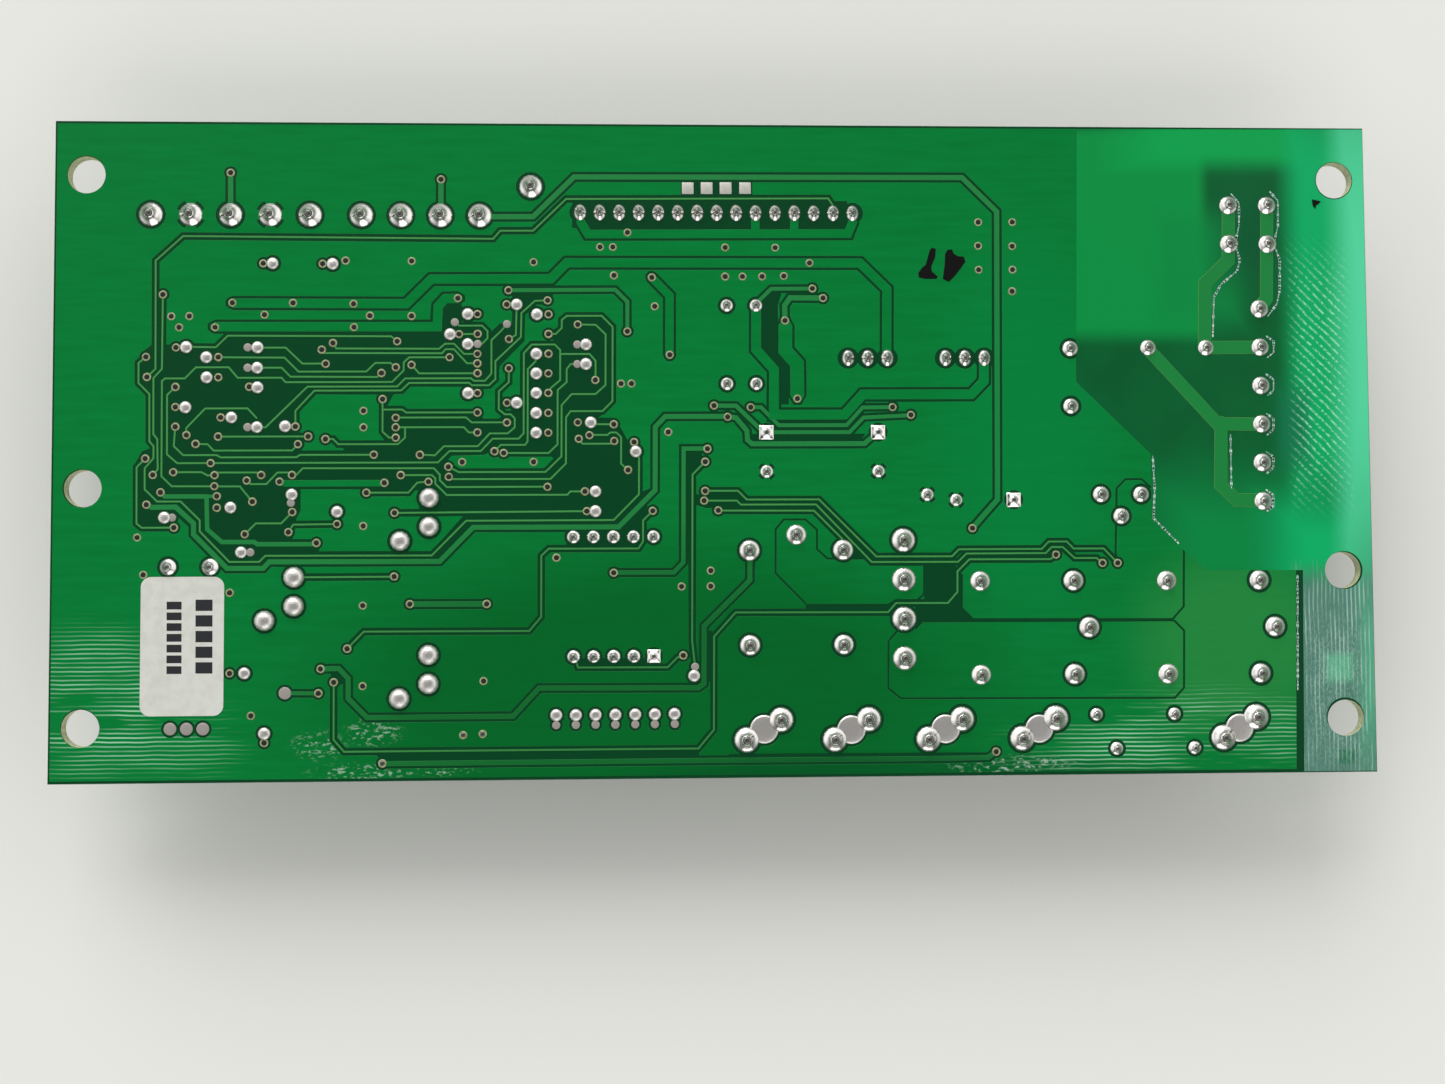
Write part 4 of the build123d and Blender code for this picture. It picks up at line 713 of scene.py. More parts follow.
# Sharpest corner that a track's outline follows in full, and half the width of its cut ends
SHARPEST_CORNER = 0.6
END_SHARE = 0.41


def add_piece(name, mesh, *materials, body=BODY):
    """Object that rides on a body, at the origin with its place in its mesh."""
    piece = add_object(name, mesh)
    for material in materials:
        mesh.materials.append(material)
    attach(piece, body)
    return piece


def finished(shape, name):
    """Plain mesh of a shape that is done with."""
    mesh = bpy.data.meshes.new(name)
    shape.to_mesh(mesh)
    shape.free()
    return mesh


def evaluated(item):
    """Plain mesh of an object with its modifiers applied."""
    depsgraph = bpy.context.evaluated_depsgraph_get()
    return bpy.data.meshes.new_from_object(item.evaluated_get(depsgraph), depsgraph=depsgraph)


def merged(node, flat=False):
    """Shape of a CAD node with its triangles joined, and its flat faces made whole if asked."""
    shape = bmesh.new()
    shape.from_mesh(frame["nodes"][node].data)
    bmesh.ops.remove_doubles(shape, verts=shape.verts, dist=MERGE_DISTANCE)
    if flat:
        bmesh.ops.dissolve_limit(shape, angle_limit=FLAT_ANGLE, verts=shape.verts, edges=shape.edges)
    return shape


def strip(points, width):
    """Outline of a track: the line through its points, widened, with cut corners at its ends."""
    half = width / 2
    left = []
    right = []
    for n, point in enumerate(points):
        before = (point - points[n - 1] if n else points[1] - point).normalized()
        after = (points[n + 1] - point).normalized() if n < len(points) - 1 else before
        across = Vector((-before.y - after.y, before.x + after.x)).normalized()
        reach = half / max(SHARPEST_CORNER, across.dot(Vector((-before.y, before.x))))
        left.append(point + across * reach)
        right.append(point - across * reach)
    start = (points[0] - points[1]).normalized() * half
    end = (points[-1] - points[-2]).normalized() * half
    side = Vector((-end.y, end.x)) * END_SHARE
    tip = [points[-1] + end + side, points[-1] + end - side]
    side = Vector((-start.y, start.x)) * END_SHARE
    tail = [points[0] + start + side, points[0] + start - side]
    return left + tip + right[::-1] + tail


def heading(angle):
    """Step of unit length at an angle in radians."""
    return Vector((math.cos(angle), math.sin(angle)))


def disc(centre, radius, sides):
    """Round outline."""
    return [centre + heading(2 * math.pi * n / sides) * radius for n in range(sides)]


def arc(centre, inner, outer, start, end, sides=5):
    """Outline of a piece of a ring between two angles in degrees."""
    ways = [heading(math.radians(start + (end - start) * n / sides)) for n in range(sides + 1)]
    return [centre + way * outer for way in ways] + [centre + way * inner for way in reversed(ways)]


def islands_of(node):
    """Loose solids of a CAD node in the order of its corners, each as the list of its corner points."""
    shape = merged(node)
    found = []
    seen = set()
    for first in shape.verts:
        group = []
        front = [first]
        while front:
            vert = front.pop()
            if vert not in seen:
                seen.add(vert)
                group.append(vert.co.copy())
                front += [edge.other_vert(vert) for edge in vert.link_edges]
        if group:
            found.append(group)
    shape.free()
    return found


def anticlockwise(outline):
    """Outline that runs anticlockwise as seen from above."""
    area = sum(a.x * b.y - a.y * b.x for a, b in zip(outline, outline[1:] + outline[:1]))
    return outline if area > 0 else outline[::-1]


def extent(points):
    """Lowest and highest corner of some points."""
    low = Vector([min(p[n] for p in points) for n in range(3)])
    high = Vector([max(p[n] for p in points) for n in range(3)])
    return low, high


# Each joint is its lowest and highest corner, and whether it is square; a square one has fewer corners
JOINT_NODES = [
    "terminal_joints", "mains_joints", "relay_joints", "power_joints", "oval_joints", "lead_joints",
    "button_joints",
]
WIDEST_JOINT = 3.6 * MM
FEWEST_ROUND_CORNERS = 6
joints = {}
for node in JOINT_NODES:
    solids = [extent(corners) + (len(corners) < FEWEST_ROUND_CORNERS,) for corners in islands_of(node)]
    joints[node] = [solid for solid in solids if solid[1].x - solid[0].x < WIDEST_JOINT]

# Copper work: every outline goes into one flat map, and each field of the map is then copper or not
POUR_FIELD, CLEAR_FIELD, CLEARING, ISLAND, GAP, SIGNAL, SUPPLY, POWER_TRACK, MAINS_TRACK, HOLE = range(10)
POUR_MASK, SIGNAL_MASK, MAINS_MASK, CLEAR_MASK, EDGE_MASK, MAINS_EDGE_MASK, SUPPLY_MASK = range(7)
MASK_OF = {
    POUR_FIELD: POUR_MASK, POWER_TRACK: POUR_MASK, SIGNAL: SIGNAL_MASK, MAINS_TRACK: MAINS_MASK,
    CLEAR_FIELD: CLEAR_MASK, SUPPLY: SUPPLY_MASK,
}
WIDEST_SUPPLY = 6.0
# Sides of round outlines and turned pieces
VIA_SIDES = 12
PAD_SIDES = 14
JOINT_SIDES = 20
TAB_SIDES = 24
HOLE_SIDES = 40
# A broken ring starts at this share of its joint's radius, and has four openings between these degrees
RING_START = 0.8
OPENING_START = 22
OPENING_END = 68
# Tolerance of the flat map in millimetres, and the least push that moves the foot of a sloping edge
MAP_TOLERANCE = 1e-4
LEAST_PUSH = 0.2


def copper_outlines():
    """Outlines of the copper work, each with its kind."""
    outlines = [(POUR_FIELD, places(POUR))]
    outlines += [(CLEAR_FIELD, places(pixels)) for pixels in (MAINS_CORNER, RIGHT_BORDER)]
    outlines += [(CLEARING, places(pixels)) for pixels in CLEARINGS]
    outlines += [(ISLAND, places(pixels)) for pixels in ISLANDS]
    outlines += [(GAP, strip(places(pixels), SPLIT_WIDTH * PIXEL)) for pixels in SPLITS]
    ends = []
    tracks = [(SIGNAL, SIGNAL_WIDTH, SIGNAL_GAP, line) for line in SIGNALS]
    for width, line in POWER:
        tracks.append((SUPPLY if width < WIDEST_SUPPLY else POWER_TRACK, width, POWER_GAP, line))
    for kind, width, gap, pixels in tracks:
        line = places(pixels)
        ends += line
        outlines.append((kind, strip(line, width * PIXEL)))
        outlines.append((GAP, strip(line, (width + 2 * gap) * PIXEL)))
    outlines += [(MAINS_TRACK, strip(places(pixels), MAINS_WIDTH * PIXEL)) for pixels in MAINS_TRACKS]
    near = TRACK_END_REACH * PIXEL
    rings = []
    for pixel in VIAS:
        if any((place(pixel) - end).length < near for end in ends):
            rings.append((pixel, VIA_RING, VIA_SIDES))
    for pad, mate in PADS_WITH_HOLES + PADS_WITH_SMALL_PADS:
        rings += [(pad, DOME_RADIUS, PAD_SIDES), (mate, VIA_RING, VIA_SIDES)]
    rings += [(pixel, DOME_RADIUS, PAD_SIDES) for pixel in FLAT_PADS]
    rings += [(pixel, TAB_LEG_RADIUS, TAB_SIDES) for pixel in TAB_LEGS]
    rings += [(pixel, TAB_MIDDLE_RADIUS, TAB_SIDES) for pixel in TAB_MIDDLES]
    for pixel, radius, sides in rings:
        outlines.append((GAP, disc(place(pixel), (radius + RING_GAP) * PIXEL, sides)))
    outlines += [(HOLE, disc(place(pixel), MOUNTING_HOLE_RADIUS, HOLE_SIDES)) for pixel in MOUNTING_HOLES]
    tied = places(TIED_JOINTS)
    spoked = places(SPOKED_JOINTS)
    for solids in joints.values():
        for low, high, _ in solids:
            centre = (low.xy + high.xy) / 2
            radius = (high.y - low.y) / 2
            outer = radius + RING_GAP * PIXEL
            if min((centre - s).length for s in spoked) < JOINT_REACH * PIXEL:
                for turn in (0, 90, 180, 270):
                    opening = (turn + OPENING_START, turn + OPENING_END)
                    outlines.append((GAP, arc(centre, RING_START * radius, outer, *opening)))
            elif min((centre - t).length for t in tied) > JOINT_REACH * PIXEL:
                outlines.append((GAP, disc(centre, outer, JOINT_SIDES)))
    return outlines


def field_kind(kinds):
    """Kind of a field of the map from the outlines that it lies in."""
    if HOLE in kinds:
        return None
    for kind in (POWER_TRACK, SUPPLY, SIGNAL, MAINS_TRACK):
        if kind in kinds:
            return kind
    if CLEAR_FIELD in kinds:
        return CLEAR_FIELD
    if GAP in kinds or POUR_FIELD not in kinds or (CLEARING in kinds and ISLAND not in kinds):
        return None
    return POUR_FIELD


def copper_work():
    """Raised copper under the mask, with sloping edges, and the clear laminate of the mains corner."""
    outlines = copper_outlines()
    corners = []
    faces = []
    for _, outline in outlines:
        faces.append(list(range(len(corners), len(corners) + len(outline))))
        corners += [p / MM for p in anticlockwise(outline)]
    points, _, fields, _, _, origins = geometry.delaunay_2d_cdt(corners, [], faces, 1, MAP_TOLERANCE)
    kinds = [field_kind({outlines[n][0] for n in origin}) for origin in origins]
    shape = bmesh.new()
    raised = {}
    level = {}
    sides = {}
    for field, kind in zip(fields, kinds):
        if kind is None:
            continue
        copper = kind != CLEAR_FIELD
        store = raised if copper else level
        height = top + (COPPER_RISE if copper else CLEAR_RISE)
        for n in field:
            if n not in store:
                store[n] = shape.verts.new((points[n].x * MM, points[n].y * MM, height))
        made = shape.faces.new([store[n] for n in field])
        made.material_index = MASK_OF[kind]
        if copper:
            for a, b in zip(field, field[1:] + field[:1]):
                if (b, a) in sides:
                    del sides[(b, a)]
                else:
                    sides[(a, b)] = MAINS_EDGE_MASK if kind == MAINS_TRACK else EDGE_MASK
    outward = {}
    for a, b in sides:
        along = (points[b] - points[a]).normalized()
        for n in (a, b):
            outward[n] = outward.get(n, Vector((0, 0))) + Vector((along.y, -along.x))
    foot = {}
    for n, way in outward.items():
        step = points[n] * MM
        if way.length > LEAST_PUSH:
            step = step + way.normalized() * MASK_SLOPE
        foot[n] = shape.verts.new((step.x, step.y, top - COPPER_RISE / 2))
    for (a, b), material in sides.items():
        made = shape.faces.new([raised[b], raised[a], foot[a], foot[b]])
        made.material_index = material
    return add_piece(
        "copper_work", finished(shape, "copper work"),
        mask_on_pour, mask_on_signal, mask_on_mains, clear_mask,
        mask_on_edge, mask_on_mains_edge, mask_on_supply,
    )


copper_work()

SOLDER_FACE, HOLE_WALL, SAWN_EDGE, COMPONENT_FACE = range(4)
FACES_UP = 0.5


def board_with_core():
    """The board with bare glass-epoxy on the walls of its mounting holes and a dark cut edge."""
    shape = merged("board", flat=True)
    hole_places = places(MOUNTING_HOLES)
    for wall in shape.faces:
        centre = wall.calc_center_median().xy
        if wall.normal.z > FACES_UP:
            wall.material_index = SOLDER_FACE
        elif wall.normal.z < -FACES_UP:
            wall.material_index = COMPONENT_FACE
        elif min((centre - hole).length for hole in hole_places) < 2 * MOUNTING_HOLE_RADIUS:
            wall.material_index = HOLE_WALL
        else:
            wall.material_index = SAWN_EDGE
    mesh = finished(shape, "board with core")
    piece = add_piece("board_with_core", mesh, mask_on_laminate, laminate_core, cut_edge, component_mask)
    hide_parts("board")


board_with_core()


def flat_marks(name, outlines, height, material):
    """Thin marks on the solder side, each a filled outline of places."""
    shape = bmesh.new()
    for outline in outlines:
        shape.faces.new([shape.verts.new((p.x, p.y, height)) for p in anticlockwise(outline)])
    add_piece(name, finished(shape, name), material)


# The label has two rows of generic print; the blots of ink, the lines of flux and a painted highlight on one
# copper edge lie on the mask
label_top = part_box("label")[1].z
bars = []
for across, start, end, count, thick in PRINT_ROWS:
    step = (end - start) / count
    for n in range(count):
        low = start + step * n
        high = low + BAR_SHARE * step
        left, right = across - thick, across + thick
        bars.append(places([(left, low), (right, low), (right, high), (left, high)]))
flat_marks("label_print", bars, label_top + PRINT_RISE, print_ink)
blots = [places(outline) for outline in INK_BLOTS]
flat_marks("ink_blots", blots, top + INK_RISE, marker_ink)
ragged = random.Random(4)
flux_and_glint_pieces = []
for line in FLUX_AND_GLINT_LINES:
    for start, end in zip(line, line[1:]):
        count = max(1, round(math.dist(start, end) / FLUX_AND_GLINT_STEP))
        points = [place(start).lerp(place(end), n / count) for n in range(count + 1)]
        for a, b in zip(points, points[1:]):
            flux_and_glint_pieces.append(strip([a, b], FLUX_AND_GLINT_WIDTH * PIXEL * ragged.uniform(*FLUX_AND_GLINT_SPREAD)))
flat_marks("flux_residue", flux_and_glint_pieces, top + FLUX_AND_GLINT_RISE, flux_residue)


# Solder: a turned joint, dome or ring, set at many places by one node tree

# Radius inside which a joint with a square foot is round
ROUND_WITHIN = 0.35


def turned(name, profile, sides, square=False):
    """Round mesh of unit size from a profile of radius and height; square at its foot if asked."""
    shape = bmesh.new()
    rings = []
    for radius, height in profile:
        ring = []
        for n in range(sides):
            angle = 2 * math.pi * (n + 0.5) / sides
            reach = radius
            if square:
                corner = 1 / max(abs(math.cos(angle)), abs(math.sin(angle)))
                reach *= 1 + (corner - 1) * max(0.0, radius - ROUND_WITHIN) / (1 - ROUND_WITHIN)
            ring.append(shape.verts.new((reach * math.cos(angle), reach * math.sin(angle), height)))
        rings.append(ring)
    for lower, upper in zip(rings, rings[1:]):
        for n in range(sides):
            made = shape.faces.new([lower[n], lower[n - 1], upper[n - 1], upper[n]][::-1])
            made.smooth = True
    if profile[-1][0] > 0:
        cap = shape.faces.new(rings[-1])
        cap.smooth = True
    bmesh.ops.recalc_face_normals(shape, faces=shape.faces)
    return finished(shape, name)


def scatter_tree():
    """Node tree that sets a piece at every point, with the point's own size and a random turn."""
    tree = bpy.data.node_groups.new("scatter", "GeometryNodeTree")
    for name, kind in (
        ("Points", "Geometry"), ("Piece", "Object"), ("Turn Spread", "Float"), ("Size Spread", "Float"),
        ("Seed", "Int"), ("Finish", "Material"),
    ):
        tree.interface.new_socket(name, in_out="INPUT", socket_type="NodeSocket" + kind)
    tree.interface.new_socket("Mesh", in_out="OUTPUT", socket_type="NodeSocketGeometry")
    given = add_node(tree, "NodeGroupInput").outputs
    size = add_node(tree, "GeometryNodeInputNamedAttribute", {"Name": "size"}, data_type="FLOAT_VECTOR")
    turn, spread = [
        add_node(
            tree, "FunctionNodeRandomValue", {2: 0.0, 3: given[most], "Seed": given["Seed"]},
            data_type="FLOAT",
        )
        for most in ("Turn Spread", "Size Spread")
    ]
    shrink = add_node(tree, "ShaderNodeMath", {0: 1.0, 1: spread.outputs[1]}, operation="SUBTRACT")
    scale = add_node(
        tree, "ShaderNodeVectorMath", {0: size.outputs[0], "Scale": shrink.outputs[0]}, operation="SCALE",
    )
    spin = add_node(tree, "ShaderNodeCombineXYZ", {"Z": turn.outputs[1]})
    piece = add_node(tree, "GeometryNodeObjectInfo", {"Object": given["Piece"]})
    placed = add_node(
        tree, "GeometryNodeInstanceOnPoints",
        {
            "Points": given["Points"], "Instance": piece.outputs["Geometry"],
            "Rotation": spin.outputs[0], "Scale": scale.outputs[0],
        },
    )
    real = add_node(tree, "GeometryNodeRealizeInstances", {0: placed.outputs[0]})
    done = add_node(tree, "GeometryNodeSetMaterial", {0: real.outputs[0], "Material": given["Finish"]})
    add_node(tree, "NodeGroupOutput", {0: done.outputs[0]})
    return tree


scattering = scatter_tree()


def scatter(name, template, spots, material, turn_spread=2 * math.pi, size_spread=0.0, seed=1):
    """One plain mesh of a template set at spots, each a place and a size."""
    points = bpy.data.meshes.new(name + " points")
    points.from_pydata([spot for spot, _ in spots], [], [])
    sizes = points.attributes.new("size", "FLOAT_VECTOR", "POINT")
    sizes.data.foreach_set("vector", [part for _, size in spots for part in size])
    holder = add_object(name + " points", points)
    pattern = bpy.data.objects.new(name + " pattern", template)
    modifier = holder.modifiers.new("scatter", "NODES")
    modifier.node_group = scattering
    values = {
        "Piece": pattern, "Turn Spread": turn_spread, "Size Spread": size_spread, "Seed": seed,
        "Finish": material,
    }
    for item in scattering.interface.items_tree:
        if item.in_out == "INPUT" and item.name in values:
            modifier[item.identifier] = values[item.name]
    mesh = evaluated(holder)
    mesh.name = name
    bpy.data.objects.remove(holder)
    bpy.data.objects.remove(pattern)
    return add_piece(name, mesh)


# Profiles of solder, as shares of its radius and height; a joint has hollow sides where it climbs its pin
JOINT_PROFILE = [
    (1.0, 0.0), (0.97, 0.07), (0.85, 0.17), (0.7, 0.28), (0.56, 0.42), (0.46, 0.57), (0.39, 0.72),
    (0.3, 0.78),
]
PIN_PROFILE = [(0.36, 0.72), (0.34, 0.83), (0.26, 0.93), (0.1, 0.97)]
DOME_PROFILE = [(1.0, 0.0), (0.98, 0.22), (0.9, 0.5), (0.72, 0.78), (0.45, 0.94), (0.15, 1.0)]
LOW_PROFILE = [(1.0, 0.0), (0.97, 0.55), (0.85, 0.85), (0.45, 1.0)]
RING_PROFILE = [(1.0, 0.0), (0.95, 0.9), (0.75, 1.0), (0.6, 0.6)]
BORE_PROFILE = [(1.0, 0.0), (1.0, 0.9), (0.5, 1.0)]
SQUARE_PAD_PROFILE = [(1.0, 0.0), (0.98, 0.7), (0.9, 1.0)]
STEEPEST_JOINT = 0.85
SQUARE_JOINT_HEIGHT = 0.55 * MM
# Heights in millimetres of what is placed by pixels
TAB_LEG_HEIGHT = 1.4
TAB_PAD_HEIGHT = 0.16
TEST_PAD_HEIGHT = 0.36
LOW_PAD_HEIGHT = 0.12
SQUARE_PAD_HEIGHT = 0.08
RING_HEIGHT = 0.07
BORE_HEIGHT = 0.05
NECK_RISE = 0.1 * MM
# Hand-made solder differs by up to this share in size
SIZE_SPREAD = 0.05
CONE_SIDES = 16
PIN_SIDES = 10
cone = turned("joint", JOINT_PROFILE, CONE_SIDES)
square_cone = turned("square joint", JOINT_PROFILE, JOINT_SIDES, square=True)
pin_end = turned("pin end", PIN_PROFILE, PIN_SIDES)
dome = turned("dome", DOME_PROFILE, VIA_SIDES)
low_disc = turned("low disc", LOW_PROFILE, TAB_SIDES)


def solder_spots(pixels, radius, height, level=top):
    """Places and sizes of like pads, from pixels."""
    size = (radius * PIXEL, radius * PIXEL, height * MM)
    return [((spot.x, spot.y, level), size) for spot in places(pixels)]


for node, solids in joints.items():
    groups = {"round": [], "square": [], "dome": []}
    for low, high, is_square in solids:
        middle = (low + high) / 2
        half = (high - low) / 2
        height = min(2 * half.z, STEEPEST_JOINT * half.y)
        is_square |= (middle.xy - place(SQUARE_JOINT)).length < SQUARE_JOINT_REACH * PIXEL
        kind = "dome" if node == "button_joints" else "square" if is_square else "round"
        size = (half.x, half.y, SQUARE_JOINT_HEIGHT if is_square else height)
        groups[kind].append(((middle.x, middle.y, low.z), size))
    if node == "power_joints":
        groups["round"] += solder_spots(TAB_LEGS, TAB_LEG_RADIUS, TAB_LEG_HEIGHT)
    for kind, template in (("round", cone), ("square", square_cone), ("dome", dome)):
        if groups[kind]:
            metal = matt_solder if kind == "dome" else solder_metal
            scatter(f"{node}_{kind}", template, groups[kind], metal, 0.0, SIZE_SPREAD)
    if node != "button_joints":
        pinned = groups["round"] + groups["square"]
        scatter(f"{node}_pin_ends", pin_end, pinned, pin_metal, 0.0, SIZE_SPREAD)
    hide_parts(node)

pads = sorted({pad for pad, _ in PADS_WITH_HOLES + PADS_WITH_SMALL_PADS})
small_pads = [mate for _, mate in PADS_WITH_SMALL_PADS] + SMALL_PADS
holes = VIAS + [mate for _, mate in PADS_WITH_HOLES]
open_holes = [hole for hole in holes if hole not in FILLED_VIAS]
ring = turned("via ring", RING_PROFILE, PAD_SIDES)
bore = turned("via bore", BORE_PROFILE, VIA_SIDES)
square_pad = turned("square pad", SQUARE_PAD_PROFILE, JOINT_SIDES, square=True)
for name, template, pixels, radius, height, material, slot in (
    ("tab_pads", low_disc, TAB_MIDDLES, TAB_MIDDLE_RADIUS, TAB_PAD_HEIGHT, matt_solder, "solder"),
    ("test_pads", dome, pads, DOME_RADIUS, TEST_PAD_HEIGHT, matt_solder, "solder"),
    ("small_pads", low_disc, small_pads, SMALL_DOME_RADIUS, LOW_PAD_HEIGHT, dull_tin, "solder"),
    ("flat_pads", low_disc, FLAT_PADS, DOME_RADIUS, LOW_PAD_HEIGHT, dull_tin, "solder"),
    ("square_pads", square_pad, SQUARE_PADS, SQUARE_PAD_SIDE / 2, SQUARE_PAD_HEIGHT, matt_tin, "solder"),
    ("via_rings", ring, holes, VIA_RING, RING_HEIGHT, tinned_ring, "solder"),
    ("via_bores", bore, open_holes, VIA_HOLE, BORE_HEIGHT, hole_shadow, "laminate"),
    ("via_fillings", bore, FILLED_VIAS, VIA_HOLE, BORE_HEIGHT, pin_metal, "solder"),
):
    spots = solder_spots(pixels, radius, height)
    scatter(name, template, spots, material, 0.0, SIZE_SPREAD)

necks = [strip([place(pad), place(mate)], NECK_WIDTH * PIXEL) for pad, mate in PADS_WITH_SMALL_PADS]
flat_marks("pad_necks", necks, top + NECK_RISE, dull_tin)

# Finishes of the other pieces, by the record's slots: name, colour, roughness, metallic, second colour,
# grain in millimetres and strength of the bumps.
# Metals are drawn or plated and have a fine dull grain. Polyamide is moulded with a matt skin, epoxy has a
# finer one, sleeves and lacquers are smooth and glossy, and dipped coatings have a faint orange peel.
FINISHES = {
    "tinned_copper": ("tinned copper", "#C9C6BE", 0.32, 1.0, "#ABA79C", 0.7, 0.15),
    "plated_steel": ("plated steel", "#BDBFC0", 0.3, 1.0, "#A3A6A8", 0.4, 0.2),
    "brass": ("tinned brass", "#C9C2A6", 0.34, 1.0, "#B3A881", 1.2, 0.15),
    "terminal_plastic": ("green polyamide", "#1E6B45", 0.48, 0.0, "#1A613E", 0.5, 0.3),
    "mains_plastic": ("grey polyamide", "#74787A", 0.5, 0.0, "#6A6E70", 0.5, 0.3),
    "black_plastic": ("black moulded plastic", "#1A1B1D", 0.48, 0.0, "#222326", 0.4, 0.3),
    "plunger_plastic": ("grey plunger plastic", "#8E9091", 0.42, 0.0, "#85888A", 0.4, 0.2),
    "relay_plastic": ("black relay case", "#1C1C1F", 0.34, 0.0, "#242428", 0.6, 0.25),
    "moulded_epoxy": ("moulded epoxy", "#191A1C", 0.55, 0.0, "#232426", 0.25, 0.4),
    "can_sleeve": ("shrink sleeve", "#191D28", 0.26, 0.0, "#1F2432", 2.0, 0.1),
    "film_box": ("film capacitor box", "#B5322A", 0.36, 0.0, "#A62C25", 1.0, 0.15),
    "disc_coating": ("dipped epoxy", "#2A55A0", 0.28, 0.0, "#244B90", 1.2, 0.5),
    "resistor_coating": ("resistor lacquer", "#C9A77C", 0.36, 0.0, "#BE9A6D", 0.6, 0.2),
    "segment_resin": ("milky resin", "#D9D6CE", 0.35, 0.0, "#CFCBC1", 0.8, 0.1),
    "chip_ceramic": ("chip ceramic", "#6E5F4E", 0.55, 0.0, "#5F5243", 0.3, 0.3),
}
BUMP_DEPTH = 0.03 * MM
finishes = {"laminate": mask_on_laminate, "paper": label_paper, "solder": solder_metal}
for slot, (name, colour, roughness, metallic, other, grain, bumps) in FINISHES.items():
    finish = new_finish(name, colour, roughness, metallic)
    mottle(finish, other, 2 * grain * MM, MOTTLE_LOW, MOTTLE_HIGH)
    finishes[slot] = grainy(finish, grain * MM, bumps, BUMP_DEPTH)
slot_of = {entry["node"]: entry["material_slot"] for entry in frame["record"]["subparts"]}
body_of = {node: body for body, nodes in frame["record"]["behaviour"]["bodies"].items() for node in nodes}
for node, slot in slot_of.items():
    mesh = frame["nodes"][node].data
    mesh.materials.clear()
    mesh.materials.append(finishes[slot])


# Component side: moulded pieces with rounded edges, and the small things on them

# Angles in radians past which an edge is rounded, and past which it still shows as a crease
SHARP_EDGE = 0.5
LOWEST_CREASE = 0.36
# Rounding of the edges in millimetres, by slot; a dipped coating has no edges left
ROUNDING = {
    "terminal_plastic": 0.22, "mains_plastic": 0.25, "black_plastic": 0.18, "plunger_plastic": 0.25,
    "relay_plastic": 0.3, "moulded_epoxy": 0.15, "film_box": 0.4, "can_sleeve": 0.25, "resistor_coating": 0.5,
    "chip_ceramic": 0.08, "disc_coating": 1.1,
}
ROUNDING_STEPS = 3
ROUND_PROFILE = 0.5


def eased(node, rounding):
    """Mesh of a CAD piece with its sharp edges rounded."""
    shape = merged(node, flat=True)
    sharp = [edge for edge in shape.edges if edge.is_manifold and edge.calc_face_angle() > SHARP_EDGE]
    bmesh.ops.bevel(
        shape, geom=sharp, offset=rounding * MM, segments=ROUNDING_STEPS, profile=ROUND_PROFILE,
        affect="EDGES", clamp_overlap=True,
    )
    for face in shape.faces:
        face.smooth = True
    mesh = finished(shape, node)
    mesh.set_sharp_from_angle(angle=LOWEST_CREASE)
    return mesh


for node, slot in slot_of.items():
    if slot in ROUNDING:
        piece = add_piece(node + "_eased", eased(node, ROUNDING[slot]), finishes[slot], body=body_of[node])
        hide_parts(node)

# Spade tabs have a small hole that a push-on connector's catch drops into
TAB_ROUNDING = 0.12
TAB_HOLE_RADIUS = 0.9 * MM
TAB_HOLE_RISE = 3.4 * MM
TAB_SLANT = math.radians(30)
DRILL_LENGTH = 4 * MM
DRILL_SIDES = 20


def drilled_tabs():
    """Mesh of the spade tabs with their holes cut through."""
    across = Vector((-math.sin(TAB_SLANT), math.cos(TAB_SLANT), 0))
    turn = across.to_track_quat("Z", "Y").to_matrix().to_4x4()
    shape = bmesh.new()
    for corners in islands_of("spade_tabs"):
        low, high = extent(corners)
        middle = (low + high) / 2
        bmesh.ops.create_cone(
            shape, cap_ends=True, segments=DRILL_SIDES, radius1=TAB_HOLE_RADIUS, radius2=TAB_HOLE_RADIUS,
            depth=DRILL_LENGTH,
            matrix=Matrix.Translation((middle.x, middle.y, low.z + TAB_HOLE_RISE)) @ turn,
        )
    cutter = add_object("tab drills", finished(shape, "tab drills"))
    tabs = add_object("tabs", eased("spade_tabs", TAB_ROUNDING))
    cut = tabs.modifiers.new("holes", "BOOLEAN")
    cut.operation = "DIFFERENCE"
    cut.object = cutter
    mesh = evaluated(tabs)
    bpy.data.objects.remove(tabs)
    bpy.data.objects.remove(cutter)
    return mesh


tabs = add_piece("drilled_spade_tabs", drilled_tabs(), finishes["brass"])
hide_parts("spade_tabs")


def prism(shape, outline, high, low):
    """Solid between two levels, closed below, from an outline that runs anticlockwise."""
    upper = [shape.verts.new((p.x, p.y, high)) for p in outline]
    lower = [shape.verts.new((p.x, p.y, low)) for p in outline]
    shape.faces.new(lower[::-1])
    for n in range(len(outline)):
        shape.faces.new([lower[n - 1], lower[n], upper[n], upper[n - 1]])


# Screw heads face down, each with a slot turned its own way
SLOT_SHARE = 0.14
SLOT_FLOOR = -0.55
HEAD_SIDES = 24
CHEEK_STEPS = 10


def slotted_head():
    """Screw head of unit radius and height that faces down."""
    shape = bmesh.new()
    edge = math.asin(SLOT_SHARE)
    prism(shape, disc(Vector((0, 0)), 1.0, HEAD_SIDES), 0.0, SLOT_FLOOR)
    for start in (edge, math.pi + edge):
        turns = [start + (math.pi - 2 * edge) * n / CHEEK_STEPS for n in range(CHEEK_STEPS + 1)]
        prism(shape, [heading(turn) for turn in turns], SLOT_FLOOR, -1.0)
    return finished(shape, "slotted head")


heads = []
for corners in islands_of("terminal_screws"):
    low, high = extent(corners)
    middle = (low + high) / 2
    heads.append(((middle.x, middle.y, high.z), (high.x - middle.x, high.x - middle.x, high.z - low.z)))
screws = scatter("slotted_screws", slotted_head(), heads, finishes["plated_steel"], seed=7)
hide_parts("terminal_screws")

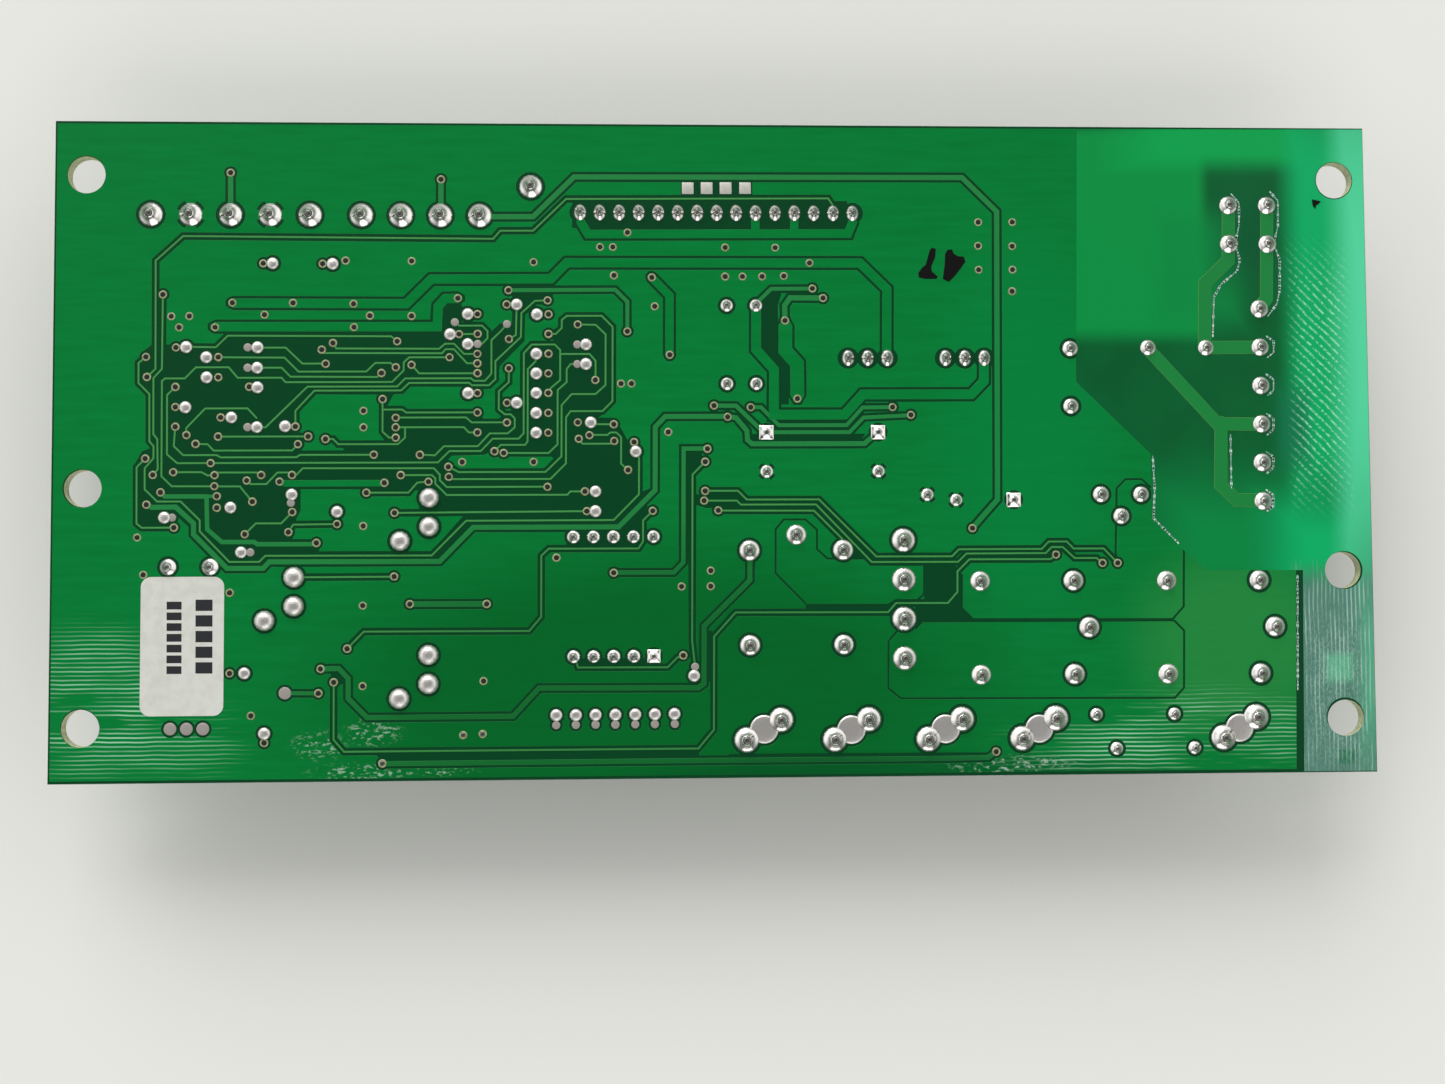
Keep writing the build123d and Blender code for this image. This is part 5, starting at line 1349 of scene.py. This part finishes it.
# Cans show bare aluminium with a scored vent at their ends, whose scores are painted dark for the shade in
# them, and a pale stripe down their minus side
CANS = ["capacitor_a_can", "capacitor_b_can", "reservoir_capacitor_can"]
CAN_EDGE = 1.1 * MM
STRIPE_MARGIN = 1.0 * MM
STRIPE_ANGLE = 0.45
STRIPE_STEPS = 8
CAN_SIDES = 32
# Each vent has three scores, from and to these shares of the can's radius, and this share wide
VENT_TURN = 0.5
VENT_START = 0.05
VENT_END = 0.62
VENT_WIDTH = 0.07
SHADED_SCORE = 1
SKIN = 0.02 * MM
can_end = grainy(new_finish("aluminium can end", "#C3C5C6", 0.34, 1.0), 0.3 * MM, 0.2, BUMP_DEPTH)
stripe_ink = new_finish("pale sleeve stripe", "#A9B0B6", 0.34)
# The dark grey of the scores is painted shade
shaded_score = new_finish("scored vent in painted shade", "#4B4D4F", 0.5, 0.8)
ends = bmesh.new()
stripes = bmesh.new()
for node in CANS:
    low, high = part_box(node)
    middle = ((low + high) / 2).xy
    radius = (high.x - low.x) / 2
    prism(ends, disc(middle, radius - CAN_EDGE, CAN_SIDES), low.z + SKIN, low.z - SKIN)
    for turn in (VENT_TURN, VENT_TURN + 2 * math.pi / 3, VENT_TURN + 4 * math.pi / 3):
        score = [middle + heading(turn) * share * radius for share in (VENT_START, VENT_END)]
        outline = strip(score, VENT_WIDTH * radius)
        prism(ends, outline[::-1], low.z, low.z - 2 * SKIN)
        ends.faces.ensure_lookup_table()
        for face in ends.faces[-len(outline) - 1:]:
            face.material_index = SHADED_SCORE
    turns = [-math.pi / 2 + STRIPE_ANGLE * (2 * n / STRIPE_STEPS - 1) for n in range(STRIPE_STEPS + 1)]
    rows = []
    for height in (low.z + STRIPE_MARGIN, high.z - STRIPE_MARGIN / 2):
        around = [middle + heading(turn) * (radius + SKIN) for turn in turns]
        rows.append([stripes.verts.new((p.x, p.y, height)) for p in around])
    for n in range(STRIPE_STEPS):
        stripes.faces.new([rows[0][n], rows[0][n + 1], rows[1][n + 1], rows[1][n]])
add_piece("can_ends", finished(ends, "can_ends"), can_end, shaded_score)
add_piece("can_stripes", finished(stripes, "can_stripes"), stripe_ink)

# Painted bands round the resistors and the diodes (share of the length, half width, colour)
BAND_RISE = 0.03 * MM
BAND_SIDES = 24
BANDS = {
    "resistor_bodies": [
        (0.2, 0.32, "#5A2E1A"), (0.36, 0.32, "#171412"), (0.52, 0.32, "#9C2B1E"), (0.8, 0.32, "#A9853E"),
    ],
    "diode_bodies": [(0.84, 0.4, "#C6C9C8")],
}
for node, bands in BANDS.items():
    shape = bmesh.new()
    for corners in islands_of(node):
        low, high = extent(corners)
        middle = (low + high) / 2
        size = high - low
        axis = Vector((1, 0, 0)) if size.x > size.y else Vector((0, 1, 0))
        side = Vector((0, 0, 1)).cross(axis)
        radius = size.z / 2 + BAND_RISE
        for index, (share, half, _) in enumerate(bands):
            rings = []
            for step in (-half * MM, half * MM):
                start = middle + axis * ((share - 0.5) * size.dot(axis) + step)
                turns = [2 * math.pi * n / BAND_SIDES for n in range(BAND_SIDES)]
                around = [side * math.cos(a) + Vector((0, 0, math.sin(a))) for a in turns]
                rings.append([shape.verts.new(start + way * radius) for way in around])
            for n in range(BAND_SIDES):
                band = shape.faces.new([rings[0][n - 1], rings[0][n], rings[1][n], rings[1][n - 1]])
                band.material_index = index
                band.smooth = True
                band.normal_update()
                if band.normal.dot(band.calc_center_median() - middle) < 0:
                    band.normal_flip()
    mesh = finished(shape, node + " bands")
    paints = [new_finish(f"band paint {n + 1}", colour, 0.4) for n, (_, _, colour) in enumerate(bands)]
    add_piece(node.replace("_bodies", "_bands"), mesh, *paints)

# White outlines are screened on the component side round the larger parts
OUTLINED = [
    "relay_a_case", "relay_b_case", "relay_c_case", "bridge_rectifier_body", "display_housing",
    "program_button_base", "up_button_base", "down_button_base", "film_capacitor_body", "varistor_body",
    "controller_body", "driver_body", "receiver_socket_housing", "mains_terminal_housing",
    "terminal_five_housing", "terminal_four_housing",
]
OUTLINE_GAP = 0.45 * MM
OUTLINE_WIDTH = 0.2 * MM
OUTLINE_ARC = 45
face_level = board_low.z
shape = bmesh.new()
for node in OUTLINED:
    low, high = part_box(node)
    left = max(low.x - OUTLINE_GAP, board_low.x)
    right = min(high.x + OUTLINE_GAP, board_high.x)
    near = max(low.y - OUTLINE_GAP, board_low.y)
    far = min(high.y + OUTLINE_GAP, board_high.y)
    corners = [Vector((left, near)), Vector((right, near)), Vector((right, far)), Vector((left, far))]
    for a, b in zip(corners, corners[1:] + corners[:1]):
        prism(shape, strip([a, b], OUTLINE_WIDTH)[::-1], face_level, face_level - SKIN)
for node in CANS:
    low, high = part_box(node)
    middle = ((low + high) / 2).xy
    radius = (high.x - low.x) / 2 + OUTLINE_GAP
    for turn in range(0, 360, OUTLINE_ARC):
        piece = arc(middle, radius, radius + OUTLINE_WIDTH, turn, turn + OUTLINE_ARC)
        prism(shape, piece, face_level, face_level - SKIN)
mesh = finished(shape, "screened outlines")
add_piece("screened_outlines", mesh, screen_ink)

# The plated holes come out on the component side too
low_ring = turned("low via ring", [(radius, -height) for radius, height in RING_PROFILE], PAD_SIDES)
low_bore = turned("low via bore", [(radius, -height) for radius, height in BORE_PROFILE], VIA_SIDES)
for name, template, radius, depth, material, slot in (
    ("low_via_rings", low_ring, VIA_RING, RING_HEIGHT, tinned_ring, "solder"),
    ("low_via_bores", low_bore, VIA_HOLE, BORE_HEIGHT, hole_shadow, "laminate"),
):
    spots = solder_spots(holes, radius, depth, face_level)
    scatter(name, template, spots, material, 0.0, SIZE_SPREAD)


# Stage and light

# Each lamp has its place, size and power. The room is pale at its walls, and darker overhead, along the floor
# and on its near side; its limits are parts of a direction of unit length.
LAMPS = [("far window", (-0.5, 1.9, 1.35), 1.5, 31.0), ("near window", (0.15, -1.3, 0.9), 1.4, 9.0)]
ROOM_WALLS = 1.6
ROOM_CEILING = 0.06
CEILING_START = 0.6
CEILING_FULL = 0.88
ROOM_NEAR_SIDE = 0.2
NEAR_FULL = -0.75
NEAR_END = -0.15
ROOM_SKIRTING = 0.15
SKIRTING_TOP = 0.42
ROOM_COLOUR = "#F4F5F5"
BACKDROP = 0.86
TABLE_LEVEL = -0.05 * MM
TABLE_REACH = 1.6


def set_stage():
    """Pale table under the board, two broad windows and the room's light."""
    mesh = bpy.data.meshes.new("table")
    ways = ((-1, -1), (1, -1), (1, 1), (-1, 1))
    mesh.from_pydata([(x * TABLE_REACH, y * TABLE_REACH, TABLE_LEVEL) for x, y in ways], [], [(0, 1, 2, 3)])
    # The table's top is matt and plain, so that only the board's shadow shows on it
    mesh.materials.append(new_finish("white table", "#E6E6E0", 0.8))
    table = add_object("table", mesh)
    for name, spot, size, power in LAMPS:
        lamp = bpy.data.lights.new(name, "AREA")
        lamp.energy = power
        lamp.size = size
        window = add_object(name, lamp)
        window.location = spot
        window.rotation_euler = (-Vector(spot)).to_track_quat("-Z", "Y").to_euler()
    world = bpy.data.worlds.new("room")
    world.use_nodes = True
    tree = world.node_tree
    where = add_node(tree, "ShaderNodeTexCoord")
    way = add_node(tree, "ShaderNodeSeparateXYZ", {0: where.outputs["Generated"]})
    level = 1.0
    for axis, start, end, first, last in (
        ("Z", CEILING_START, CEILING_FULL, ROOM_WALLS, ROOM_CEILING),
        ("Y", NEAR_FULL, NEAR_END, ROOM_NEAR_SIDE, 1.0),
        ("Z", 0.0, SKIRTING_TOP, ROOM_SKIRTING, 1.0),
    ):
        side = add_node(
            tree, "ShaderNodeMapRange",
            {"Value": way.outputs[axis], "From Min": start, "From Max": end, "To Min": first, "To Max": last},
        )
        product = add_node(tree, "ShaderNodeMath", {0: level, 1: side.outputs[0]}, operation="MULTIPLY")
        level = product.outputs[0]
    seen = add_node(tree, "ShaderNodeLightPath").outputs["Is Camera Ray"]
    shown = add_node(tree, "ShaderNodeMix", {0: seen, 2: level, 3: BACKDROP}, data_type="FLOAT")
    sky = tree.nodes["Background"]
    sky.inputs["Color"].default_value = linear(ROOM_COLOUR)
    tree.links.new(shown.outputs[0], sky.inputs["Strength"])
    bpy.context.scene.world = world


set_stage()
bpy.context.scene.view_settings.view_transform = "Standard"
